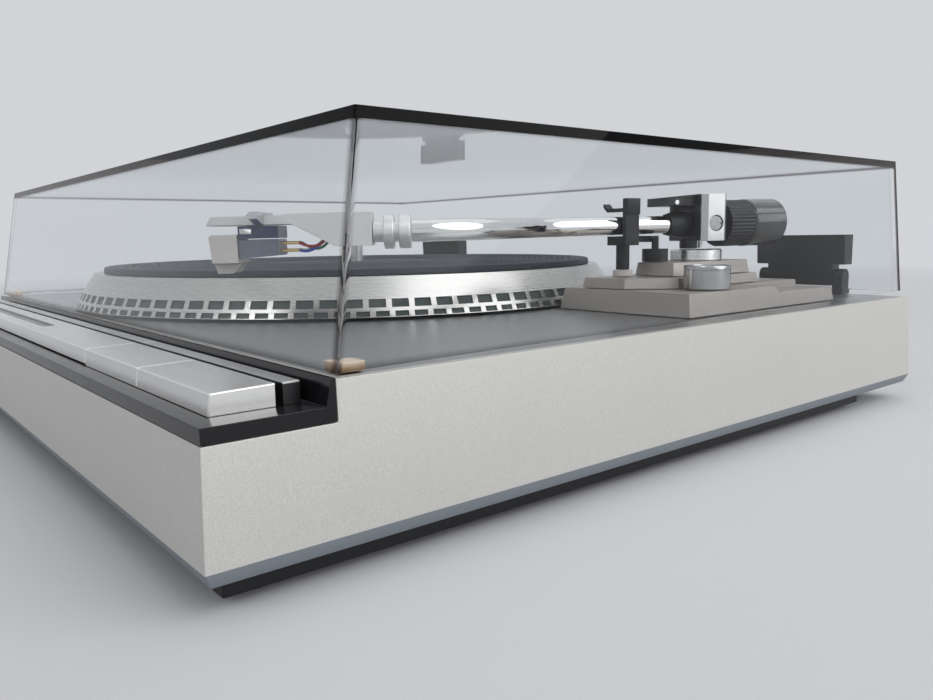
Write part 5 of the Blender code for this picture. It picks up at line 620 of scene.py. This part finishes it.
def swept(points, radius):
    """A bmesh tube along a line of points, its ends closed."""
    bm = bmesh.new()
    rings = []
    for number, spot in enumerate(points):
        before, after = points[max(number - 1, 0)], points[min(number + 1, len(points) - 1)]
        place = facing(spot, after - before)
        ring = bmesh.ops.create_circle(bm, segments=TUBE_STEPS, radius=radius, matrix=place)
        rings.append(ring["verts"])
    for first, second in zip(rings, rings[1:]):
        edges = dict.fromkeys(edge for vert in (*first, *second) for edge in vert.link_edges)
        rims = [edge for edge in edges if all(vert in first for vert in edge.verts)]
        rims += [edge for edge in edges if all(vert in second for vert in edge.verts)]
        bmesh.ops.bridge_loops(bm, edges=rims)
    bm.faces.new(rings[0])
    bm.faces.new(rings[-1])
    return bm


def shell_place(forward, side, up):
    """A matrix at a place in the headshell's frame, its X forward, Y to the camera's side and Z up."""
    turn = Matrix((SHELL_FORWARD, SHELL_SIDE, SHELL_UP)).transposed().to_4x4()
    spot = SHELL_ORIGIN + SHELL_FORWARD * forward + SHELL_SIDE * side + SHELL_UP * up
    return Matrix.Translation(spot) @ turn


def facing(centre, direction):
    """A matrix at a centre whose Z points along a direction."""
    return Matrix.Translation(centre) @ Vector(direction).to_track_quat("Z", "Y").to_matrix().to_4x4()


def screw_head(radius, height, slot_depth, place):
    """A bmesh of a slotted cheese head: a disc with a bevelled rim, cut by a slot, then placed."""
    slot_width = radius * 0.3
    rim_share = 0.97
    round_share = 0.12
    bm = bmesh.new()
    bmesh.ops.create_cone(
        bm, cap_ends=True, segments=SMALL_STEPS, radius1=radius, radius2=radius, depth=height,
        matrix=Matrix.Translation((0, 0, height / 2)),
    )
    for offset in (-slot_width / 2, slot_width / 2):
        everything = bm.verts[:] + bm.edges[:] + bm.faces[:]
        bmesh.ops.bisect_plane(bm, geom=everything, plane_co=(0, offset, 0), plane_no=(0, 1, 0), dist=1e-8)
    strip = [
        face for face in bm.faces
        if face.normal.z > 0.9 and abs(face.calc_center_median().y) < slot_width / 2
    ]
    bmesh.ops.inset_region(bm, faces=strip, thickness=0.0, depth=-slot_depth)
    rim = [
        edge for edge in bm.edges
        if len(edge.link_faces) == 2 and all(
            abs(vert.co.z - height) < 1e-7 and vert.co.xy.length > radius * rim_share for vert in edge.verts
        )
    ]
    bmesh.ops.bevel(
        bm, geom=rim, offset=radius * round_share, affect="EDGES", segments=2, profile=0.5, material=-1,
        clamp_overlap=True,
    )
    bmesh.ops.transform(bm, matrix=place, verts=bm.verts)
    return bm


class TURNTABLE_OT_housing(bpy.types.Operator):
    """Finish the plinth, deck, base, feet and rear fittings."""

    bl_idname = "turntable.housing"
    bl_label = "Finish the housing"

    def execute(self, context):
        colours, sizes = context.scene.turntable_colours, context.scene.turntable_sizes
        # The plinth's chamfer gets painted shade in the strip colour.
        strip_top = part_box("plinth_shell")[0].z + sizes.strip_height
        paint = painted("silver_paint", colours.paint, 0.0005, strip_top, colours.strip)
        dress(["plinth_shell"], paint, sizes.moulded_edge)
        deck = brushed("brushed_deck", colours.deck, (260, 1.6, 1), 0.34, 0.13)
        dress(["deck_plate"], deck, sizes.soft_edge)
        black = moulded("black_base", colours.black)
        dress(["base_cover", "cord_gland"], black, sizes.moulded_edge)
        hinges = [f"hinge_{part}_{side}" for part in ("base", "holder") for side in ("left", "right")]
        dress(hinges, black, sizes.soft_edge)
        feet = [f"foot_{end}_{side}" for end in ("front", "rear") for side in ("left", "right")]
        dress(feet, rubber_finish("foot_rubber", colours.rubber), sizes.moulded_edge)
        dress(["signal_sockets"], jack_finish(colours), sizes.soft_edge)
        dress(["earth_terminal", "transformer"], screw_steel(colours), sizes.soft_edge)
        dress(["circuit_board"], moulded("board_laminate", colours.board, 0.5))
        dress(["motor_stator"], moulded("motor_laminate", colours.coils, 0.5))
        return {"FINISHED"}


class TURNTABLE_OT_controls(bpy.types.Operator):
    """Finish the control tray, keys, long bar and its window."""

    bl_idname = "turntable.controls"
    bl_label = "Finish the controls"

    def execute(self, context):
        colours, sizes = context.scene.turntable_colours, context.scene.turntable_sizes
        dress(["control_tray"], moulded("tray_black", colours.black, 0.16), sizes.soft_edge)
        keys = brushed("brushed_keys", colours.aluminium, (200, 1, 1), 0.24, 0.08)
        dress(["start_key", "stop_key", "display_bar"], keys, sizes.soft_edge)
        dress(["display_window"], moulded("dark_window", colours.black, 0.16), sizes.soft_edge)
        for name in ("lift_key", "rear_trim_bar"):
            dress([name], capped(name + "_strip", colours, name), sizes.soft_edge)
        return {"FINISHED"}


class TURNTABLE_OT_platter(bpy.types.Operator):
    """Finish the platter and drive, and model the ribbed mat."""

    bl_idname = "turntable.platter"
    bl_label = "Finish the platter"

    def execute(self, context):
        colours, sizes = context.scene.turntable_colours, context.scene.turntable_sizes
        dress(["platter"], platter_finish(colours))
        dress(["spindle", "rotor_ring"], turned("turned_steel", colours.steel, SPINDLE))
        dress(["bearing_housing"], turned("turned_brass", colours.brass, SPINDLE))
        self.make_mat(colours, sizes)
        return {"FINISHED"}

    def make_mat(self, colours, sizes):
        """The mat: a plain sunk middle and round ribs out to a plain border."""
        low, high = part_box("platter_mat")
        outer = (high.x - low.x) / 2
        hole = 0.0042
        rounding = 0.0009
        recess = 0.0004
        rib_share = 0.62
        border = 0.0060
        profile = [(hole, low.z), (hole, high.z - recess), (sizes.label_radius, high.z - recess)]
        profile.append((sizes.label_radius + rounding / 2, high.z))
        start = sizes.label_radius + sizes.rib_pitch / 2
        count = int((outer - border - start) / sizes.rib_pitch)
        slope = sizes.rib_pitch * 0.08
        for number in range(count):
            left = start + number * sizes.rib_pitch
            right = left + sizes.rib_pitch * (1 - rib_share)
            profile += [(left, high.z), (left + slope, high.z - sizes.rib_depth)]
            profile += [(right - slope, high.z - sizes.rib_depth), (right, high.z)]
        profile += [(outer - rounding, high.z), (outer - rounding * 0.3, high.z - rounding * 0.3)]
        profile += [(outer, high.z - rounding), (outer, low.z), (hole, low.z)]
        place = Matrix.Translation((SPINDLE.x, SPINDLE.y, 0))
        finish = rubber_finish("mat_rubber", colours.rubber, 0.2)
        mat = new_piece("ribbed_mat", spun(profile, place), finish, "turning_platter")
        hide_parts("platter_mat")


class TURNTABLE_OT_arm_base(bpy.types.Operator):
    """Finish the blocks under the arm, the rest, the lifter and the knob."""

    bl_idname = "turntable.arm_base"
    bl_label = "Finish the arm's base"

    def execute(self, context):
        colours, sizes = context.scene.turntable_colours, context.scene.turntable_sizes
        blocks = casting("satin_casting", colours.casting)
        dress(["arm_base_plate", "arm_base_step", "arm_riser"], blocks, sizes.moulded_edge)
        dress(["swing_disc"], turned("turned_disc", colours.aluminium, PIVOT), sizes.soft_edge)
        dress(["arm_rest_disc"], moulded("pale_disc", colours.pale, 0.4), sizes.soft_edge)
        black = moulded("rest_black", colours.black, 0.36)
        dress(["arm_rest", "arm_rest_latch", "lifter_body", "lifter_bar"], black, sizes.soft_edge)
        dress(["lock_pin"], screw_steel(colours))
        self.make_knob(colours)
        self.make_latch_cover(black)
        return {"FINISHED"}

    def make_latch_cover(self, black):
        """The plate that closes the arm rest's slot outside the latch, hollowed for the latch's barrel."""
        pin = Vector(JOINTS["latch_flip"]["pos_m"])
        along = Vector(JOINTS["latch_flip"]["axis"]).normalized()
        outward = along.cross(UP)
        outward *= 1 if outward.x > 0 else -1
        length = 0.0072
        thickness = 0.0009
        wall = 0.0011
        hollow = 0.0004
        pin_depth = 0.0011
        reach_below_pin = 0.0022
        rounding = 0.00018
        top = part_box("arm_rest")[1].z
        height = top - pin.z + reach_below_pin
        centre = pin + outward * (pin_depth + thickness / 2) + UP * (top - height / 2 - pin.z)
        turn = Matrix((along, outward, UP)).transposed().to_4x4()
        bm = bmesh.new()
        bmesh.ops.create_cube(bm, size=1.0, matrix=Matrix.Diagonal((length, thickness, height, 1.0)))
        inner = [face for face in bm.faces if face.normal.y < -0.9]
        bmesh.ops.inset_region(bm, faces=inner, thickness=wall, depth=-hollow)
        rim = [edge for edge in bm.edges if all(vert.co.y > 0 for vert in edge.verts)]
        bmesh.ops.bevel(bm, geom=rim, offset=rounding, affect="EDGES", segments=2, profile=0.5, material=-1)
        bmesh.ops.transform(bm, matrix=Matrix.Translation(centre) @ turn, verts=bm.verts)
        new_piece("latch_cover", bm, black, "plinth")

    def make_knob(self, colours):
        """The small knob: a turned cylinder with a dished top and an index line."""
        low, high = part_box("anti_skate_knob")
        radius = (high.x - low.x) / 2
        height = high.z - low.z
        centre = Vector(((low.x + high.x) / 2, (low.y + high.y) / 2, low.z))
        dish = rounding = radius * 0.05
        groove = radius * 0.02
        profile = [
            (0, 0), (radius - rounding, 0), (radius, rounding), (radius, height * 0.80),
            (radius - groove, height * 0.81), (radius - groove, height * 0.83), (radius, height * 0.84),
            (radius, height - rounding), (radius - rounding * 0.3, height - rounding * 0.3),
            (radius - rounding, height), (radius * 0.86, height), (radius * 0.82, height - dish),
            (0, height - dish),
        ]
        finish = turned("knob_chrome", dimmed(colours.chrome, 0.55), centre, 0.15)
        place = Matrix.Translation(centre)
        knob = new_piece("turned_knob", spun(profile, place), finish, "anti_skate")
        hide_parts("anti_skate_knob")
        line = Vector((radius * 0.5, radius * 0.07, dish))
        spot = centre + Vector((radius * 0.5, 0, height - dish * 0.6))
        bm = bmesh.new()
        bmesh.ops.create_cube(bm, size=1.0, matrix=Matrix.Translation(spot) @ Matrix.Diagonal((*line, 1.0)))
        new_piece("knob_line", bm, moulded("line_black", colours.black), "anti_skate")


class TURNTABLE_OT_arm(bpy.types.Operator):
    """Finish the arm, gimbal and counterweight, and add the yoke's small screw."""

    bl_idname = "turntable.arm"
    bl_label = "Finish the arm"

    def execute(self, context):
        colours, sizes = context.scene.turntable_colours, context.scene.turntable_sizes
        dress(["arm_tube"], polished("arm_chrome", colours.chrome, 0.06))
        dress(["bearing_core", "gimbal_yoke"], moulded("bearing_black", colours.black, 0.30), sizes.soft_edge)
        dress(["force_dial"], moulded("dial_black", colours.black, 0.34), sizes.soft_edge)
        dress(["counterweight"], lacquered("weight_black", colours.black), sizes.soft_edge)
        satin = brushed("satin_plate", dimmed(colours.aluminium, 0.70), (1, 1, 60), 0.30, 0.06)
        dress(["gimbal_side_plate"], satin, sizes.soft_edge)
        dress(["pivot_screw"], screw_steel(colours, 0.45), sizes.soft_edge)
        rings = polished("ring_aluminium", colours.aluminium, 0.34)
        dress(["locking_collar", "tube_socket"], rings)
        self.add_yoke_screw(colours)
        return {"FINISHED"}

    def add_yoke_screw(self, colours):
        """The small bright screw in the near face of the yoke's roof."""
        radius = 0.0011
        height = 0.0005
        forward = 0.0165
        out = 0.0095
        drop = 0.0036
        spot = PIVOT + GIMBAL_SIDE.cross(UP) * forward + GIMBAL_SIDE * out
        spot.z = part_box("gimbal_yoke")[1].z - drop
        bm = screw_head(radius, height, height * 0.6, facing(spot, GIMBAL_SIDE))
        new_piece("yoke_screw", bm, screw_steel(colours), "arm_yoke")


class TURNTABLE_OT_headshell(bpy.types.Operator):
    """Finish the headshell and cartridge, and add the nuts and leads."""

    bl_idname = "turntable.headshell"
    bl_label = "Finish the headshell"

    def execute(self, context):
        colours, sizes = context.scene.turntable_colours, context.scene.turntable_sizes
        silver = painted("headshell_silver", dimmed(colours.aluminium, 0.68), 0.0003)
        dress(["headshell"], silver, sizes.soft_edge)
        dress(["finger_lift", "stylus"], screw_steel(colours), sizes.soft_edge)
        dress(["cartridge_mount"], moulded("mount_navy", colours.navy, 0.30), sizes.soft_edge)
        dress(["cartridge_body"], pinned_body(colours), sizes.soft_edge)
        dress(["stylus_holder"], moulded("holder_pale", colours.pale, 0.36), sizes.moulded_edge)
        guard = moulded("guard_grey", dimmed(colours.pale, 0.9), 0.30)
        dress(["stylus_guard"], guard, sizes.soft_edge)
        self.add_nuts(colours)
        self.make_leads(colours, sizes)
        return {"FINISHED"}

    def add_nuts(self, colours):
        """A six-sided nut in each side of the cartridge's mounting block."""
        steel = screw_steel(colours)
        forward = -0.0083
        out = 0.0070
        foot = 0.0001
        radius = 0.0024
        height = 0.0019
        rounding = radius * 0.08
        for name, side in (("near", 1), ("far", -1)):
            bm = bmesh.new()
            bmesh.ops.create_cone(
                bm, cap_ends=True, segments=6, radius1=radius, radius2=radius, depth=height,
                matrix=Matrix.Translation((0, 0, height / 2)),
            )
            bmesh.ops.bevel(
                bm, geom=bm.edges[:], offset=rounding, affect="EDGES", segments=2, profile=0.5, material=-1
            )
            bmesh.ops.transform(bm, matrix=shell_place(forward, side * out, foot), verts=bm.verts)
            new_piece("mount_nut_" + name, bm, steel, "arm")

    def make_leads(self, colours, sizes):
        """Four coloured leads, each hanging in a bow from its pin to the block in the shank."""
        upper_pins = -0.0032
        lower_pins = -0.0058
        leads = (
            ("red", colours.lead_red, 1, upper_pins, 0.0026),
            ("blue", colours.lead_blue, 1, lower_pins, 0.0018),
            ("green", colours.lead_green, -1, upper_pins, 0.0036),
            ("white", colours.lead_white, -1, lower_pins, 0.0010),
        )
        start = -0.0255
        end = -0.0374
        half_spread = 0.0026
        top = 0.0002
        steps = 20
        for name, colour, side, height, sag in leads:
            points = []
            for step in range(steps + 1):
                share = step / steps
                ease = share * share * (3 - 2 * share)
                bow = sag * math.sin(math.pi * share)
                forward = start + (end - start) * share - bow * 0.4
                out = side * half_spread * (1 - 0.4 * ease) + bow * 0.5
                points.append(shell_place(forward, out, height + (top - height) * ease - bow).translation)
            finish = moulded("lead_" + name, colour, 0.38)
            new_piece("lead_" + name, swept(points, sizes.lead_radius), finish, "arm")
        block_size = (0.0020, 0.0076, 0.0038)
        block_forward = -0.0372
        rounding = 0.0003
        bm = bmesh.new()
        place = shell_place(block_forward, 0, top)
        bmesh.ops.create_cube(bm, size=1.0, matrix=place @ Matrix.Diagonal((*block_size, 1.0)))
        bmesh.ops.bevel(
            bm, geom=bm.edges[:], offset=rounding, affect="EDGES", segments=2, profile=0.5, material=-1
        )
        block = new_piece("lead_block", bm, moulded("block_black", colours.black), "arm")
        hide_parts("lead_wires")


class TURNTABLE_OT_lid(bpy.types.Operator):
    """Finish the clear lid and its pads, and add the screws in its hinge holders."""

    bl_idname = "turntable.lid"
    bl_label = "Finish the lid"

    def execute(self, context):
        colours, sizes = context.scene.turntable_colours, context.scene.turntable_sizes
        dress(["dust_cover"], acrylic_finish(colours, sizes), sizes.lid_edge, 3)
        dress(["corner_bumper_left", "corner_bumper_right"], pad_finish(colours), sizes.moulded_edge)
        self.add_screws(colours)
        return {"FINISHED"}

    def add_screws(self, colours):
        """Two slotted screws in the rear face of each hinge holder, nearly flush."""
        steel = screw_steel(colours, 0.6)
        radius = 0.0024
        height = 0.0012
        out = 0.0004
        inset = 0.0100
        drop = 0.0060
        for name in ("left", "right"):
            low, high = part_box("hinge_holder_" + name)
            for number, x in enumerate((low.x + inset, high.x - inset), 1):
                place = facing((x, high.y + out - height, high.z - drop), (0, 1, 0))
                bm = screw_head(radius, height, height * 0.5, place)
                new_piece(f"holder_screw_{name}_{number}", bm, steel, "lid")


class TURNTABLE_OT_stage(bpy.types.Operator):
    """Make the floor, the light and the camera."""

    bl_idname = "turntable.stage"
    bl_label = "Make the stage"

    def execute(self, context):
        settings = context.scene.turntable_stage
        self.make_floor(settings)
        self.make_world(context.scene, settings)
        for name, spot, width, power in LAMPS:
            self.add_lamp(name, spot, width, getattr(settings, power))
        self.add_camera(context.scene, settings)
        context.scene.view_settings.view_transform = "Standard"
        return {"FINISHED"}

    def make_floor(self, settings):
        """A floor that takes the shadow near the object and runs out into the backdrop's colour."""
        bm = bmesh.new()
        bmesh.ops.create_circle(bm, cap_ends=True, segments=ROUND_STEPS, radius=FLOOR_RADIUS)
        mesh = bpy.data.meshes.new("floor")
        bm.to_mesh(mesh)
        bm.free()
        finish = Finish("pale_floor", settings.floor, 0.75)
        across, deep, _ = finish.axes()
        radius = (across ** 2 + deep ** 2) ** 0.5
        far = ((radius - settings.clear_radius) / (settings.fade_radius - settings.clear_radius)).clamped()
        plain = finish.node("Emission", None, {0: (*settings.backdrop, 1.0)})
        seen = sum_of([finish.node("LightPath", output=ray) for ray in SEEING_RAYS]).clamped()
        mesh.materials.append(finish.surfaced(far * seen, plain))
        floor = bpy.data.objects.new("floor", mesh)
        bpy.context.scene.collection.objects.link(floor)

    def make_world(self, scene, settings):
        """Even light from all round, behind which rays from the camera, metal and glass see the backdrop."""
        world = bpy.data.worlds.new("studio")
        world.use_nodes = True
        scene.world = world
        nodes, links = world.node_tree.nodes, world.node_tree.links
        light = nodes["Background"]
        light.inputs["Color"].default_value = (*settings.ambient, 1.0)
        light.inputs["Strength"].default_value = settings.ambient_level
        shown = nodes.new("ShaderNodeBackground")
        shown.inputs["Color"].default_value = (*settings.backdrop, 1.0)
        path = nodes.new("ShaderNodeLightPath")
        seen = path.outputs[SEEING_RAYS[0]]
        for name in SEEING_RAYS[1:]:
            either = nodes.new("ShaderNodeMath")
            either.operation = "MAXIMUM"
            links.new(seen, either.inputs[0])
            links.new(path.outputs[name], either.inputs[1])
            seen = either.outputs[0]
        mix = nodes.new("ShaderNodeMixShader")
        links.new(seen, mix.inputs[0])
        links.new(light.outputs[0], mix.inputs[1])
        links.new(shown.outputs[0], mix.inputs[2])
        links.new(mix.outputs[0], nodes["World Output"].inputs["Surface"])

    def add_lamp(self, name, spot, width, power):
        """A round soft lamp that points at the object."""
        lamp = bpy.data.lights.new(name, "AREA")
        lamp.shape = "DISK"
        lamp.size = width
        lamp.energy = power
        made = bpy.data.objects.new(name, lamp)
        aim = LAMP_AIM - Vector(spot)
        made.matrix_world = Matrix.Translation(spot) @ aim.to_track_quat("-Z", "Y").to_matrix().to_4x4()
        bpy.context.scene.collection.objects.link(made)

    def add_camera(self, scene, settings):
        """The camera where the photograph was taken from."""
        angles = (CAMERA_YAW_DEG, CAMERA_PITCH_DEG, CAMERA_ROLL_DEG)
        yaw, pitch, roll = (math.radians(angle) for angle in angles)
        forward = Vector((-math.sin(yaw) * math.cos(pitch), math.cos(yaw) * math.cos(pitch), math.sin(pitch)))
        level = Vector((math.cos(yaw), math.sin(yaw), 0))
        upright = level.cross(forward)
        right = level * math.cos(roll) + upright * math.sin(roll)
        up = upright * math.cos(roll) - level * math.sin(roll)
        camera = bpy.data.cameras.new("camera")
        camera.sensor_fit = "HORIZONTAL"
        camera.sensor_width = SENSOR_WIDTH_MM
        camera.lens = settings.lens
        camera.clip_start = CLIP_START
        made = bpy.data.objects.new("camera", camera)
        turn = Matrix((right, up, -forward)).transposed().to_4x4()
        made.matrix_world = Matrix.Translation(CAMERA_PLACE) @ turn
        scene.collection.objects.link(made)
        scene.camera = made


STEPS = (
    TURNTABLE_OT_housing,
    TURNTABLE_OT_controls,
    TURNTABLE_OT_platter,
    TURNTABLE_OT_arm_base,
    TURNTABLE_OT_arm,
    TURNTABLE_OT_headshell,
    TURNTABLE_OT_lid,
    TURNTABLE_OT_stage,
)


class TURNTABLE_PT_panel(bpy.types.Panel):
    """Lists the settings and the steps."""

    bl_idname = "TURNTABLE_PT_panel"
    bl_label = "Turntable"
    bl_space_type = "VIEW_3D"
    bl_region_type = "UI"
    bl_category = "Turntable"

    def draw(self, context):
        for group in GROUPS:
            settings = getattr(context.scene, group)
            for name in settings.__annotations__:
                self.layout.prop(settings, name)
        for step in STEPS:
            self.layout.operator(step.bl_idname)


GROUPS = {
    "turntable_colours": TurntableColours,
    "turntable_sizes": TurntableSizes,
    "turntable_stage": TurntableStage,
}


def register():
    for group in GROUPS.values():
        bpy.utils.register_class(group)
    for name, group in GROUPS.items():
        setattr(bpy.types.Scene, name, PointerProperty(type=group))
    for step in STEPS:
        bpy.utils.register_class(step)
    bpy.utils.register_class(TURNTABLE_PT_panel)


def unregister():
    bpy.utils.unregister_class(TURNTABLE_PT_panel)
    for step in reversed(STEPS):
        bpy.utils.unregister_class(step)
    for name, group in GROUPS.items():
        delattr(bpy.types.Scene, name)
        bpy.utils.unregister_class(group)


def main():
    register()
    bpy.ops.turntable.housing()
    bpy.ops.turntable.controls()
    bpy.ops.turntable.platter()
    bpy.ops.turntable.arm_base()
    bpy.ops.turntable.arm()
    bpy.ops.turntable.headshell()
    bpy.ops.turntable.lid()
    bpy.ops.turntable.stage()


if __name__ == "__main__":
    main()
